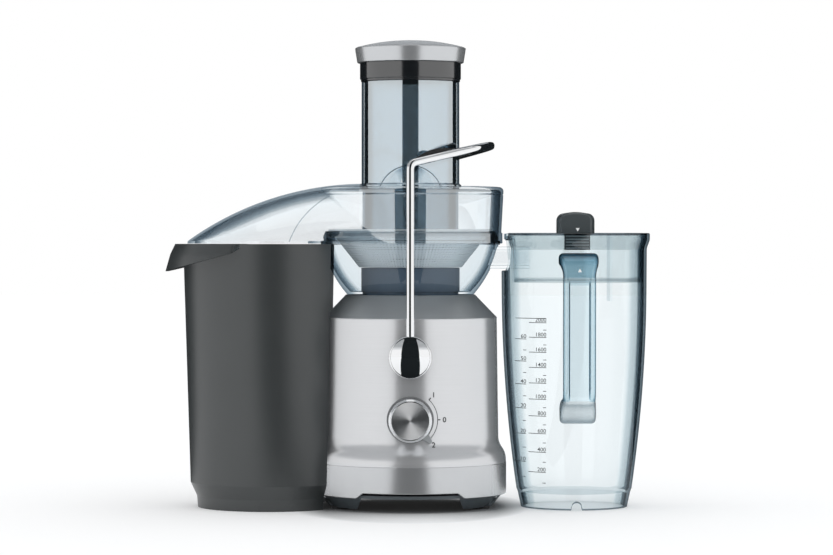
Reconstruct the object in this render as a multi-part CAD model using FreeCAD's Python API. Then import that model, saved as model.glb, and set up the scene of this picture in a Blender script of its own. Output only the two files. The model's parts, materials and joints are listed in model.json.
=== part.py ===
import FreeCAD, Part
import math
import os

# Centrifugal juicer with its pulp bin and juice jug, one solid or group of solids per piece.
# Millimetres. The drive axis is X = Y = 0, the table is Z = 0, and the dial faces -Y.

V = FreeCAD.Vector

# Heights of the stack, from the table up
PAD_PROUD = 2.0          # rubber pads below the moulded feet
FOOT_HEIGHT = 11.0       # moulded feet below the trim band
TRIM_HEIGHT = 28.3
FLARE_LAND = 2.7         # straight part of the steel skirt above the trim
FLARE_HEIGHT = 25.0
FLARE_ARC_IN = 0.11      # share of the flare at the middle of each of its arcs
FLARE_ARC_UP = 0.27
WRAP_HEIGHT = 112.5      # straight steel wrap above the flare
CONE_HEIGHT = 21.5
BOWL_HEIGHT = 51.4
COVER_HEIGHT = 51.6      # bowl rim to the top of the cover drum
CHUTE_HEIGHT = 101.0     # drum top to the chute mouth
COLLAR_HEIGHT = 21.0
CAP_SKIRT_DROP = 3.0     # cap skirt hangs over the collar
CAP_EDGE_HEIGHT = 14.0
CAP_CROWN = 7.5

# Radii of the stack
TRIM_R = 91.6
WRAP_LOW_R = 84.3
WRAP_TOP_R = 82.8
CONE_TOP_R = 62.0
BOWL_FOOT_R = 60.5
BOWL_MID_R = 75.9
BOWL_RIM_R = 84.6
BOWL_FLANGE_R = 86.0
DRUM_BEAD_R = 88.3
DRUM_LOW_R = 87.2
DRUM_TOP_R = 89.5
CHUTE_BORE_R = 44.0
COLLAR_PROUD = 1.5       # collar past the chute wall
CAP_SKIRT = 2.6          # cap skirt past the collar
CAP_FLARE = 2.2
CAP_SHOULDER = 2.5       # cap dome inside the cap edge
CAP_SHOULDER_RISE = 1.2

# Walls and clearances
PLASTIC_WALL = 3.0
CLEAR_WALL = 2.8         # clear mouldings
STEEL_WALL = 1.5
SLIP = 0.3               # loose fit between parts that lift or turn
RUNNING = 0.06           # radial play of a shaft in its bore
NEST = 0.7               # bowl over the drive hub
BEYOND = 5.0             # a cutter runs on past what it cuts

# Feet and tray
FOOT_ARCH_HALF = 46.0    # open arch between the feet, front and rear
FOOT_ARCH_SLOPE = 5.0
FOOT_ARCH_BELOW = 1.0    # arch cut starts below the table
FOOT_INNER_R = 52.0
FOOT_LOW_INSET = 9.0
TRIM_ARCH_RISE = 5.0
PAD_R = 9.0
PAD_SUNK = 1.0
PAD_X = 66.0
PAD_Y = 30.0
SCREW_RING_R = 83.5
SCREW_R = 2.0
SCREW_HEAD_R = 3.8
SCREW_HEAD_T = 2.4
SCREW_ANGLES = (20, 160, 200, 340)
BOSS_R = 6.5
BOSS_HEIGHT = 19.0
SCREW_TIP_GAP = 4.0      # screw tip below the top of its boss
CONE_WALL_DROP = 4.2     # wall of the top cone, measured upright

# Motor
SHAFT_R = 5.0
SHAFT_TAIL = 6.0         # shaft end below the lower plate
STATOR_HALF = 42.0
STATOR_CORNER = 8.0
STATOR_HEIGHT = 50.0
STATOR_Z = 78.0
STATOR_BORE_R = 27.0
AIR_GAP = 0.7
COIL_HEIGHT = 11.0
COIL_R = 39.5
COIL_OFF_BORE = 1.0
ARMATURE_COIL_R = 24.0
COMMUTATOR_R = 14.5
COMMUTATOR_HEIGHT = 8.0
FAN_R = 41.0
FAN_HEIGHT = 11.0
FAN_BLADES = 9
FAN_BLADE_T = 1.6
FAN_BLADE_ROOT = 4.0     # blade root off the shaft
FAN_HUB_WALL = 6.0
FAN_PLATE_T = 1.6
BOLT_AT = 36.0
BOLT_R = 2.5
BOLT_HEAD_PROUD = 2.0
BOLT_HEAD_T = 3.0
PLATE_T = 4.0
BRUSH_ROOM = 11.0        # lower plate below the commutator
FAN_GAP = 3.0
FAN_TO_PLATE = 4.0
BEARING_R = 13.0
BEARING_HEIGHT = 8.0
BEARING_SEAT = 3.0
MOUNT_R = 8.0
MOUNT_POST_INSET = 1.0
MOUNT_HEIGHT = 12.0
BRUSH_SIDE = 6.0
BRUSH_LENGTH = 18.0
BRUSH_SHOWS = 3.0        # brush holder off the commutator

# Drive hub, coupling and filter basket
HUB_R = 45.5
HUB_HEIGHT = 21.5
HUB_CHAMFER = 3.0
HUB_INNER_CHAMFER = 1.0
SEAL_R = 9.0
COUPLING_R = 13.5
COUPLING_HEIGHT = 9.2
COUPLING_GAP = 2.0       # coupling above the drive hub
COUPLING_LUGS = 3
LUG_WIDTH = 6.0
LUG_REACH = 2.6
LUG_RISE = 2.0           # lugs above the foot of the coupling
BASKET_FLOOR_R = 49.0
BASKET_FLOOR_T = 3.0
BASKET_GAP = 1.5         # basket floor above the bowl deck
BASKET_TOP_R = 76.0
BASKET_HEIGHT = 33.5
MESH_T = 1.0
BASKET_RIM_WIDTH = 3.0
BASKET_RIM_HEIGHT = 4.0
BASKET_RIM_LAP = 0.5
DISC_INSET = 5.0         # disc edge inside the basket floor
DISC_T = 1.5
TOOTH_RINGS = 3
TOOTH_EDGE = 6.0         # outer ring of teeth inside the disc edge
TOOTH_START = 4.4        # inner ring of teeth outside the socket
TEETH_PER_RING = 12
TOOTH_LENGTH = 5.0
TOOTH_ANGLE = 55.0       # tooth across the radius
TOOTH_T = 1.2
TOOTH_HEIGHT = 1.8
SOCKET_WALL = 3.2
HUB_CAP_T = 3.0
HUB_CAP_CHAMFER = 4.0

# Juice bowl and spout
BOWL_MID_HEIGHT = 23.13  # middle of the bowl's side above its foot
BOWL_MID_LIFT = 0.5      # middle of the side inside, above the same outside
BOWL_FLANGE_T = 3.4
BOWL_HOLE_R = 18.0       # deck hole round the coupling
SPOUT_LAP = 6.0          # spout root inside the bowl's side
SPOUT_SHORT_OF_JUG = 43.0  # spout mouth before the jug centre
SPOUT_HALF = 15.0
SPOUT_RISE = 25.0        # spout floor above the deck
SPOUT_DEPTH = 21.0
SPOUT_CORNER = 5.0

# Cover: pulp dome, chute and saddles
DOME_INSET = 4.0         # dome tip inside the bin rim
DOME_CREST_X = -43.5
DOME_CREST_RISE = 3.4    # crest above the drum top
DOME_TIP_RISE = 2.2
DOME_CROWN_R = 250.0
DOME_DRAFT = 7.0
FLOOR_T = 2.4
BEAD_HEIGHT = 8.1
DRUM_CORNER = 3.0
CHUTE_WALL = 2.9
CHUTE_SKIRT_WALL = 2.0
CHUTE_SKIRT_GAP = 12.0   # chute skirt end above the cutting disc
OUTLET_INSET = 7.0
SADDLE_HALF = 29.5
SADDLE_RISE = 20.5
SADDLE_INSET = 2.2
SADDLE_ROOT = 6.0        # saddle starts inside the chute bore
BUMP_R = 1.5
BUMP_X = 4.6
BUMP_PROUD = 1.0
BUMP_DROP = 9.5

# Locking arm
ROD_R = 3.5
ROD_OFF_DRUM = 1.5       # rod clear of the drum
PIVOT_Z = 146.0
ARM_CORNER_RISE = 20.6   # loop corner above the drum top
ARM_TIP_X = 77.0
ARM_TIP_RISE = 19.0      # loop tip above its corners
ARM_SWEEP = 70.0         # half angle of the loop arc
ARM_BEND = 4.5
PIVOT_CAP_R = 19.8
PIVOT_CAP_BEHIND = 6.5   # cap back behind the rod axis
PIVOT_CAP_AHEAD = 4.1    # cap edge ahead of the rod axis
PIVOT_CAP_CROWN = 4.0
PIVOT_CAP_CHAMFER = 1.0
ROD_SOCKET = 10.0
PIN_R = 5.0
PIN_PLAY = 0.5           # pin in the inner panel
PIN_PAST_PANEL = 2.0
PIVOT_BOSS_R = 13.0
BUSH_R = 8.0
BUSH_INSIDE = 5.8
CLIP_R = 8.0
CLIP_T = 1.2

# Dial and controls
DIAL_Z = 87.2
DIAL_R = 20.5
DIAL_OFF_WRAP = 1.5      # dial back ahead of the wrap
DIAL_HEIGHT = 18.2
DIAL_CHAMFER = 1.6
DIAL_FACE_R = 17.6
DIAL_FACE_SUNK = 0.6
DIAL_FACE_T = 1.6
POINTER_R = 28.4
POINTER_WIDTH = 4.4
POINTER_T = 3.0
POINTER_ANGLE = -47.0
ESCUTCHEON_R = 22.0
DIAL_SHAFT_R = 3.0
DIAL_SHAFT_PLAY = 1.0    # shaft in the panel and the escutcheon
DIAL_HOLE_PLAY = 2.0     # shaft in the steel wrap
DIAL_SHAFT_END_GAP = 0.5  # bore past the shaft end
DIAL_SHAFT_GRIP = 7.0    # shaft inside the switch
DIAL_SHAFT_SOCKET = 10.2  # shaft inside the dial
PANEL_INSIDE = 11.8      # inner panel behind the wrap
PANEL_T = 2.0
PANEL_FOOT = 14.0
PANEL_HALF = 28.0
PANEL_ABOVE_PIVOT = 18.0
SWITCH_SIDE = 24.0
SWITCH_DEPTH = 19.0
INTERLOCK_X = 9.5
INTERLOCK_SIZE = (18.0, 9.0, 12.0)
BOARD_HALF_X = 30.0
BOARD_Y = (18.0, 62.0)
BOARD_T = 1.6
CAPACITOR_R = 7.0
CAPACITOR_HEIGHT = 14.0
CAPACITOR_AT = (-16.0, 40.0)
CHOKE_SIDE = 18.0
CHOKE_HEIGHT = 11.0
CHOKE_AT = (4.0, 32.0)
STANDOFF = 8.0
STANDOFF_R = 3.0
STANDOFF_INSET = 5.0     # standoffs inside the board edge
GLAND_Z = 28.0
GLAND_R = 6.5
GLAND_TIP_R = 5.2
GLAND_FLANGE_R = 9.5
GLAND_FLANGE_T = 3.0
GLAND_NUT_T = 4.0
GLAND_NUT_GAP = 1.0      # nut off the trim wall
GLAND_FLANGE_GAP = 0.4   # flange off the round trim
GLAND_SHOULDER = 1.0
GLAND_REACH = 16.4
CORD_BORE_R = 3.75

# Food pusher
PUSHER_WALL = 2.2
PUSHER_SLIP = 0.8
PUSHER_GAP = 5.0         # pusher face above the basket hub
GUIDE_WIDTH = 3.0
GUIDE_DEPTH = 1.0

# Pulp bin
BIN_OFF_HUG = 38.5       # bin axis past its concave side
BIN_TOP_R = 84.0
BIN_FOOT_R = 77.0
BIN_FOOT_Z = 24.0
BIN_STEP_R = 71.0
BIN_STEP_Z = 11.0
BIN_BASE_R = 70.0
BIN_OFF_TRIM = 3.9       # concave side clear of the trim
BIN_UNDER_COVER = 0.5
BIN_WALL = 2.6
LIP_FLAT_R = 91.5
LIP_KNEE_R = 96.3
LIP_TIP_R = 100.8
LIP_KNEE_DROP = 10.0
LIP_TIP_DROP = 26.0
LIP_LENGTH = 66.8        # lip along X from its tip
LIP_LAP = 1.0            # lip sunk in the rim
LIP_KNEE_WALL = 2.8
LIP_FLAT_INSET = 1.5     # inner corner of the lip behind its outer one
LIP_PAST_TIP = 1.0       # lip cut starts past the tip

# Juice jug
JUG_OFF_TRIM = 65.4      # jug axis past the trim
JUG_OVAL = 1.05          # depth over width
JUG_ABOVE_SPOUT = 13.0   # jug rim above the spout
JUG_WALL = 2.6
JUG_RIM_R = 72.6
JUG_RIM_LAND = 5.0
JUG_NECK_R = 69.7
JUG_NECK_FLARE = 11.0
JUG_SIDE_R = 69.4
JUG_NECK_STRAIGHT = 46.0
JUG_WAIST_R = 64.8
JUG_WAIST_Z = 102.0
JUG_LOW_R = 55.2
JUG_LOW_Z = 17.5
JUG_FOOT_R = 50.9
JUG_FOOT_INSET = 1.2     # foot ring inside the side, under the floor
JUG_FLOOR_Z = 14.5
FOOT_NOTCH_R = 5.0
FOOT_NOTCH_TOP = 9.0
SPOUT_NOTCH_HALF = 34.0
SPOUT_NOTCH_GAP = 2.0    # notch below the spout
SPOUT_NOTCH_CORNER = 12.0
HANDLE_HALF = 15.5
HANDLE_PROUD = 37.13     # grip front past the jug side
HANDLE_BELOW_RIM = 19.0
HANDLE_LENGTH = 157.0
HANDLE_BAR = 11.0
HANDLE_TOP_BAR = 13.0
HANDLE_LOW_BAR = 19.0
HANDLE_LEAN = 2.0        # grip leans in toward its low end
HANDLE_HEEL = 10.0       # low corner behind the grip front
HANDLE_ROOT_DROP = 10.0  # low arm drops toward the jug
HANDLE_GAP_CORNER = 3.0
HANDLE_GAP_HEEL_Y = 6.0
HANDLE_GAP_HEEL_Z = 8.0
HANDLE_GAP_DROP = 6.0
HANDLE_BEND = 9.0
HANDLE_CHANNEL_HALF = 10.0
HANDLE_CHANNEL_DEPTH = 5.0
HANDLE_CHANNEL_LOW = 6.0  # channel ends inside the finger gap
HANDLE_CHANNEL_TOP = 4.0
HANDLE_ROUND = 2.5

# Jug lid
LID_WALL = 2.0
LID_DEPTH = 46.5
LID_SLIP = 0.6
LID_BELOW_RIM = 0.5
LID_OFF_DRUM = 2.5       # lid edge clear of the cover drum
LID_OVER_SPOUT = 6.0
LID_BEND_DROP = 0.5      # lid bends below those of the jug
LID_TAPER = 20.0         # height over which the skirt draws in
LID_BEND_LIFT = 1.0      # inner bend above the outer one
LID_CORNER = 0.6
SEPARATOR_X = 33.0
SEPARATOR_T = 2.5
SEPARATOR_HALF = 25.0
SEPARATOR_DEPTH = 64.5
TAB_HALF = 17.5
TAB_HEIGHT = 19.5
TAB_INSET = 3.87         # tab front inside the jug side
TAB_DEPTH = 15.0
TAB_ROUND = 6.0
TAB_STEM_HALF = 12.0
TAB_STEM_INSET = 5.0
TAB_STEM_DEPTH = 7.0
TAB_STEM_LENGTH = 15.5

# Levels and radii that follow from the sizes above
TRIM_Z = PAD_PROUD + FOOT_HEIGHT
WRAP_Z = TRIM_Z + TRIM_HEIGHT
FLARE_Z = WRAP_Z + FLARE_LAND
STRAIGHT_Z = FLARE_Z + FLARE_HEIGHT
CONE_Z = STRAIGHT_Z + WRAP_HEIGHT
DECK_Z = CONE_Z + CONE_HEIGHT
BOWL_RIM_Z = DECK_Z + BOWL_HEIGHT
COVER_LOW_Z = BOWL_RIM_Z - FLOOR_T
DRUM_TOP_Z = BOWL_RIM_Z + COVER_HEIGHT
CHUTE_TOP_Z = DRUM_TOP_Z + CHUTE_HEIGHT
COLLAR_TOP_Z = CHUTE_TOP_Z + COLLAR_HEIGHT
TRAY_TOP_Z = TRIM_Z + PLASTIC_WALL
TRAY_R = TRIM_R - PLASTIC_WALL - SLIP
COMMUTATOR_Z = STATOR_Z - COIL_HEIGHT - COMMUTATOR_HEIGHT
LOWER_PLATE_Z = COMMUTATOR_Z - BRUSH_ROOM
FAN_Z = STATOR_Z + STATOR_HEIGHT + COIL_HEIGHT + FAN_GAP
UPPER_PLATE_Z = FAN_Z + FAN_HEIGHT + FAN_TO_PLATE
HUB_TOP_Z = DECK_Z + HUB_HEIGHT
BOWL_DECK_Z = HUB_TOP_Z + NEST
BASKET_Z = BOWL_DECK_Z + CLEAR_WALL + BASKET_GAP
DISC_Z = BASKET_Z + BASKET_FLOOR_T
DISC_R = BASKET_FLOOR_R - DISC_INSET
COUPLING_Z = HUB_TOP_Z + COUPLING_GAP
COUPLING_TOP_Z = COUPLING_Z + COUPLING_HEIGHT
SOCKET_TOP_Z = COUPLING_TOP_Z + SLIP
HUB_CAP_Z = SOCKET_TOP_Z + HUB_CAP_T
SOCKET_R = COUPLING_R + SLIP
SOCKET_OUTER_R = SOCKET_R + LUG_REACH + SOCKET_WALL
BASKET_RIM_Z = BASKET_Z + BASKET_HEIGHT
CHUTE_R = CHUTE_BORE_R + CHUTE_WALL
CHUTE_SKIRT_Z = DISC_Z + DISC_T + CHUTE_SKIRT_GAP
PUSHER_R = CHUTE_BORE_R - PUSHER_SLIP
PUSHER_Z = HUB_CAP_Z + PUSHER_GAP
COLLAR_R = CHUTE_R + COLLAR_PROUD
CAP_LOW_R = COLLAR_R + CAP_SKIRT
CAP_TOP_R = CAP_LOW_R + CAP_FLARE
CAP_Z = COLLAR_TOP_Z - CAP_SKIRT_DROP
CAP_EDGE_Z = CAP_Z + CAP_EDGE_HEIGHT
ROD_Y = DRUM_TOP_R + ROD_R + ROD_OFF_DRUM
ARM_CORNER_Z = DRUM_TOP_Z + ARM_CORNER_RISE
ARM_TIP_Z = ARM_CORNER_Z + ARM_TIP_RISE
PIVOT_CAP_BACK = ROD_Y - PIVOT_CAP_BEHIND
PIVOT_CAP_EDGE = ROD_Y + PIVOT_CAP_AHEAD
PIVOT_CAP_FRONT = PIVOT_CAP_EDGE + PIVOT_CAP_CROWN
PANEL_Y = WRAP_TOP_R - PANEL_INSIDE
PIN_END = PANEL_Y - PANEL_T - PIN_PAST_PANEL
BUSH_INNER = WRAP_TOP_R - BUSH_INSIDE
DIAL_BACK = WRAP_LOW_R + DIAL_OFF_WRAP
DIAL_FRONT = DIAL_BACK + DIAL_HEIGHT
DIAL_SHAFT_END = PANEL_Y - PANEL_T - DIAL_SHAFT_GRIP
GLAND_TIP_Y = TRIM_R + GLAND_REACH
BIN_HUG_R = TRIM_R + BIN_OFF_TRIM
BIN_X = -BIN_HUG_R - BIN_OFF_HUG
BIN_TOP_Z = COVER_LOW_Z - BIN_UNDER_COVER
DOME_TIP_X = BIN_X - BIN_TOP_R + DOME_INSET
LIP_END_X = BIN_X - LIP_TIP_R + LIP_LENGTH
JUG_X = TRIM_R + JUG_OFF_TRIM
SPOUT_LOW_Z = DECK_Z + SPOUT_RISE
SPOUT_TOP_Z = SPOUT_LOW_Z + SPOUT_DEPTH
SPOUT_TIP_X = JUG_X - SPOUT_SHORT_OF_JUG
SPOUT_NOTCH_Z = SPOUT_LOW_Z - SPOUT_NOTCH_GAP
JUG_HEIGHT = SPOUT_TOP_Z + JUG_ABOVE_SPOUT
JUG_RIM_Z = JUG_HEIGHT - JUG_RIM_LAND
JUG_NECK_Z = JUG_RIM_Z - JUG_NECK_FLARE
JUG_SIDE_Z = JUG_NECK_Z - JUG_NECK_STRAIGHT
JUG_FRONT = JUG_SIDE_R * JUG_OVAL
HANDLE_FRONT = JUG_FRONT + HANDLE_PROUD
HANDLE_TOP_Z = JUG_HEIGHT - HANDLE_BELOW_RIM
HANDLE_LOW_Z = HANDLE_TOP_Z - HANDLE_LENGTH
LID_TOP_Z = JUG_HEIGHT - LID_BELOW_RIM
LID_SKIRT_Z = LID_TOP_Z - LID_DEPTH
LID_KEEP_OFF = DRUM_TOP_R + LID_OFF_DRUM
SEPARATOR_Z = LID_TOP_Z - SEPARATOR_DEPTH
TAB_TOP_Z = LID_TOP_Z + TAB_HEIGHT
TAB_FRONT = JUG_FRONT - TAB_INSET
TAB_BACK = TAB_FRONT - TAB_DEPTH
TAB_STEM_FRONT = TAB_FRONT - TAB_STEM_INSET
TAB_STEM_BACK = TAB_STEM_FRONT - TAB_STEM_DEPTH
TAB_STEM_Z = LID_TOP_Z - TAB_STEM_LENGTH


# Drawing helpers
def in_xz(x, z):
    return V(x, 0, z)


def in_yz(y, z):
    return V(0, y, z)


def face(plane, start, *steps):
    """Closed face. A step is a point for a line, or a pair of points for an arc."""
    edges = []
    here = plane(*start)
    for step in steps:
        if isinstance(step[0], tuple):
            middle, end = plane(*step[0]), plane(*step[1])
            edges.append(Part.Arc(here, middle, end).toShape())
        else:
            end = plane(*step)
            edges.append(Part.makeLine(here, end))
        here = end
    edges.append(Part.makeLine(here, plane(*start)))
    return Part.Face(Part.Wire(edges))


def lathe(start, *steps):
    return face(in_xz, start, *steps).revolve(V(0, 0, 0), V(0, 0, 1), 360)


def disc(radius, z0, z1, x=0.0, y=0.0):
    return Part.makeCylinder(radius, z1 - z0, V(x, y, z0))


def ring(outer, inner, z0, z1, x=0.0, y=0.0):
    return disc(outer, z0, z1, x, y).cut(disc(inner, z0, z1, x, y))


def bar(x0, x1, y0, y1, z0, z1):
    return Part.makeBox(x1 - x0, y1 - y0, z1 - z0, V(x0, y0, z0))


def front_disc(radius, y_far, y_near, x, z):
    """Cylinder along Y on the front side; distances are measured toward the front."""
    return Part.makeCylinder(radius, y_far - y_near, V(x, -y_far, z), V(0, 1, 0))


def turned(shape, degrees, centre=V(0, 0, 0), axis=V(0, 0, 1)):
    copy = shape.copy()
    copy.rotate(centre, axis, degrees)
    return copy


def shifted(shape, x=0.0, y=0.0, z=0.0):
    copy = shape.copy()
    copy.translate(V(x, y, z))
    return copy


def front_and_rear(shape):
    return [shape, turned(shape, 180)]


def at_corners(shape, x, y):
    return [shifted(shape, a * x, b * y) for a in (-1, 1) for b in (-1, 1)]


def dome(radius, edge_z, top_z):
    """Steps of a round crown from the axis-centred rim to its top."""
    rise = top_z - edge_z
    sphere = (radius ** 2 + rise ** 2) / (2 * rise)
    half_z = top_z - sphere + math.sqrt(sphere ** 2 - radius ** 2 / 4)
    return (radius / 2, half_z), (0.0, top_z)


def joined(shapes):
    return shapes[0].multiFuse(shapes[1:]).removeSplitter()


# Base
def screw_spots():
    return [(SCREW_RING_R * math.cos(math.radians(a)), SCREW_RING_R * math.sin(math.radians(a)))
            for a in SCREW_ANGLES]


def arch_cutter(top):
    """Trapezoid through the base along Y, open to the table."""
    half_low = FOOT_ARCH_HALF + FOOT_ARCH_SLOPE
    cut = face(in_xz, (-half_low, -FOOT_ARCH_BELOW), (half_low, -FOOT_ARCH_BELOW),
               (FOOT_ARCH_HALF, top), (-FOOT_ARCH_HALF, top))
    return shifted(cut.extrude(V(0, 4 * TRIM_R, 0)), y=-2 * TRIM_R)


def foot_pads():
    pad = disc(PAD_R, 0, PAD_PROUD + PAD_SUNK)
    return Part.makeCompound(at_corners(pad, PAD_X, PAD_Y))


def base_tray():
    plate = disc(TRAY_R, TRIM_Z, TRAY_TOP_Z)
    feet = lathe((FOOT_INNER_R, PAD_PROUD), (TRAY_R - FOOT_LOW_INSET, PAD_PROUD), (TRAY_R, TRIM_Z),
                 (FOOT_INNER_R, TRIM_Z)).cut(arch_cutter(TRIM_Z))
    standoffs = [disc(STANDOFF_R, TRAY_TOP_Z, TRAY_TOP_Z + STANDOFF, a * (BOARD_HALF_X - STANDOFF_INSET), y)
                 for a in (-1, 1) for y in (BOARD_Y[0] + STANDOFF_INSET, BOARD_Y[1] - STANDOFF_INSET)]
    tray = joined([plate, feet] + standoffs)
    for x, y in screw_spots():
        tray = tray.cut(disc(SCREW_R, 0, TRAY_TOP_Z, x, y))
        tray = tray.cut(disc(SCREW_HEAD_R + SLIP, 0, TRIM_Z, x, y))
    pad_holes = at_corners(disc(PAD_R, 0, PAD_PROUD + PAD_SUNK), PAD_X, PAD_Y)
    return tray.cut(Part.makeCompound(pad_holes))


def case_screws():
    screws = []
    for x, y in screw_spots():
        head = disc(SCREW_HEAD_R, TRIM_Z - SCREW_HEAD_T, TRIM_Z, x, y)
        shank = disc(SCREW_R, TRIM_Z, TRAY_TOP_Z + BOSS_HEIGHT - SCREW_TIP_GAP, x, y)
        screws.append(head.fuse(shank).removeSplitter())
    return Part.makeCompound(screws)


def base_trim():
    band = ring(TRIM_R, TRIM_R - PLASTIC_WALL, TRIM_Z, WRAP_Z).cut(arch_cutter(TRIM_Z + TRIM_ARCH_RISE))
    bosses = [disc(BOSS_R, TRAY_TOP_Z, TRAY_TOP_Z + BOSS_HEIGHT, x, y) for x, y in screw_spots()]
    inside = disc(TRIM_R, TRIM_Z, WRAP_Z)
    trim = joined([band] + [b.common(inside) for b in bosses])
    for x, y in screw_spots():
        trim = trim.cut(disc(SCREW_R, TRIM_Z, TRAY_TOP_Z + BOSS_HEIGHT - SCREW_TIP_GAP, x, y))
    hole = Part.makeCylinder(GLAND_R, TRIM_R, V(0, TRIM_R / 2, GLAND_Z), V(0, 1, 0))
    return trim.cut(hole)


def wrap_outline(inset):
    """Outer profile of the steel wrap, moved inward by a wall."""
    low, straight, top = TRIM_R - inset, WRAP_LOW_R - inset, WRAP_TOP_R - inset
    mid = (low + straight) / 2
    mid_z = FLARE_Z + FLARE_HEIGHT / 2
    low_arc = ((low - FLARE_ARC_IN * (low - straight), FLARE_Z + FLARE_ARC_UP * FLARE_HEIGHT), (mid, mid_z))
    top_arc = ((straight + FLARE_ARC_IN * (low - straight), STRAIGHT_Z - FLARE_ARC_UP * FLARE_HEIGHT),
               (straight, STRAIGHT_Z))
    return (low, WRAP_Z), (low, FLARE_Z), low_arc, top_arc, (top, CONE_Z)


def wrap_solid(inset):
    return lathe((0, WRAP_Z), *wrap_outline(inset), (0, CONE_Z))


def body_wrap():
    shell = wrap_solid(0).cut(wrap_solid(STEEL_WALL))
    shell = shell.cut(front_disc(DIAL_SHAFT_R + DIAL_HOLE_PLAY, TRIM_R, PANEL_Y, 0, DIAL_Z))
    for hole in front_and_rear(front_disc(BUSH_R, TRIM_R, PANEL_Y, 0, PIVOT_Z)):
        shell = shell.cut(hole)
    return shell


def top_cone():
    drop = CONE_WALL_DROP
    cone = lathe((WRAP_TOP_R, CONE_Z), (CONE_TOP_R, DECK_Z), (SEAL_R, DECK_Z), (SEAL_R, DECK_Z - PLASTIC_WALL),
                 (CONE_TOP_R - PLASTIC_WALL, DECK_Z - PLASTIC_WALL), (WRAP_TOP_R - drop, CONE_Z))
    post = disc(MOUNT_R - MOUNT_POST_INSET, UPPER_PLATE_Z + PLATE_T + MOUNT_HEIGHT, DECK_Z - PLASTIC_WALL)
    return joined([cone] + at_corners(post, BOLT_AT, BOLT_AT))


def drive_hub():
    return lathe((HUB_R, DECK_Z), (HUB_R, HUB_TOP_Z - HUB_CHAMFER), (HUB_R - HUB_CHAMFER, HUB_TOP_Z),
                 (SEAL_R, HUB_TOP_Z), (SEAL_R, HUB_TOP_Z - PLASTIC_WALL),
                 (HUB_R - PLASTIC_WALL, HUB_TOP_Z - PLASTIC_WALL - HUB_INNER_CHAMFER),
                 (HUB_R - PLASTIC_WALL, DECK_Z))


def shaft_seal():
    return ring(SEAL_R, SHAFT_R + RUNNING, HUB_TOP_Z - PLASTIC_WALL, HUB_TOP_Z)


def cord_gland():
    """Rear cord entry, with a nut inside the trim."""
    flange_y = TRIM_R + GLAND_FLANGE_GAP
    inner_y = TRIM_R - PLASTIC_WALL - GLAND_NUT_GAP
    body = face(in_xz, (0, inner_y - GLAND_NUT_T), (GLAND_FLANGE_R, inner_y - GLAND_NUT_T),
                (GLAND_FLANGE_R, inner_y), (GLAND_R, inner_y), (GLAND_R, flange_y),
                (GLAND_FLANGE_R, flange_y), (GLAND_FLANGE_R, flange_y + GLAND_FLANGE_T),
                (GLAND_R, flange_y + GLAND_FLANGE_T + GLAND_SHOULDER), (GLAND_TIP_R, GLAND_TIP_Y),
                (0, GLAND_TIP_Y))
    solid = body.revolve(V(0, 0, 0), V(0, 0, 1), 360)
    solid = solid.cut(disc(CORD_BORE_R, 0, GLAND_TIP_Y))
    return shifted(turned(solid, -90, axis=V(1, 0, 0)), z=GLAND_Z)


# Motor
def motor_mounts():
    z = UPPER_PLATE_Z + PLATE_T
    return Part.makeCompound(at_corners(disc(MOUNT_R, z, z + MOUNT_HEIGHT), BOLT_AT, BOLT_AT))


def motor_plate(z, seat_z):
    """Square end plate with a seat for one bearing, bored for the tie bolts."""
    plate = bar(-STATOR_HALF, STATOR_HALF, -STATOR_HALF, STATOR_HALF, z, z + PLATE_T)
    plate = plate.fuse(disc(BEARING_R + BEARING_SEAT, seat_z, seat_z + BEARING_HEIGHT))
    plate = plate.cut(disc(BEARING_R, seat_z, seat_z + BEARING_HEIGHT))
    bolts = at_corners(disc(BOLT_R, z, z + PLATE_T), BOLT_AT, BOLT_AT)
    return plate.cut(Part.makeCompound(bolts)).removeSplitter()


def upper_plate():
    return motor_plate(UPPER_PLATE_Z, UPPER_PLATE_Z)


def lower_plate():
    return motor_plate(LOWER_PLATE_Z, LOWER_PLATE_Z + PLATE_T - BEARING_HEIGHT)


def bearing(z):
    return ring(BEARING_R, SHAFT_R + RUNNING, z, z + BEARING_HEIGHT)


def upper_bearing():
    return bearing(UPPER_PLATE_Z)


def lower_bearing():
    return bearing(LOWER_PLATE_Z + PLATE_T - BEARING_HEIGHT)


def tie_bolts():
    low = LOWER_PLATE_Z - BOLT_HEAD_T
    head = disc(BOLT_R + BOLT_HEAD_PROUD, low, LOWER_PLATE_Z)
    bolt = disc(BOLT_R, LOWER_PLATE_Z, UPPER_PLATE_Z + PLATE_T).fuse(head)
    return Part.makeCompound(at_corners(bolt.removeSplitter(), BOLT_AT, BOLT_AT))


def stator_core():
    core = bar(-STATOR_HALF, STATOR_HALF, -STATOR_HALF, STATOR_HALF, STATOR_Z, STATOR_Z + STATOR_HEIGHT)
    upright = [e for e in core.Edges if abs(e.Vertexes[0].X - e.Vertexes[1].X) < 0.01
               and abs(e.Vertexes[0].Y - e.Vertexes[1].Y) < 0.01]
    core = core.makeFillet(STATOR_CORNER, upright).cut(disc(STATOR_BORE_R, 0, 2 * UPPER_PLATE_Z))
    bolts = at_corners(disc(BOLT_R, 0, 2 * UPPER_PLATE_Z), BOLT_AT, BOLT_AT)
    return core.cut(Part.makeCompound(bolts))


def end_rings(outer, inner):
    top = STATOR_Z + STATOR_HEIGHT
    return Part.makeCompound([ring(outer, inner, top, top + COIL_HEIGHT),
                              ring(outer, inner, STATOR_Z - COIL_HEIGHT, STATOR_Z)])


def field_coils():
    return end_rings(COIL_R, STATOR_BORE_R + COIL_OFF_BORE)


def armature_coils():
    return end_rings(ARMATURE_COIL_R, SHAFT_R)


def rotor_core():
    return ring(STATOR_BORE_R - AIR_GAP, SHAFT_R, STATOR_Z, STATOR_Z + STATOR_HEIGHT)


def commutator():
    return ring(COMMUTATOR_R, SHAFT_R, COMMUTATOR_Z, COMMUTATOR_Z + COMMUTATOR_HEIGHT)


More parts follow.
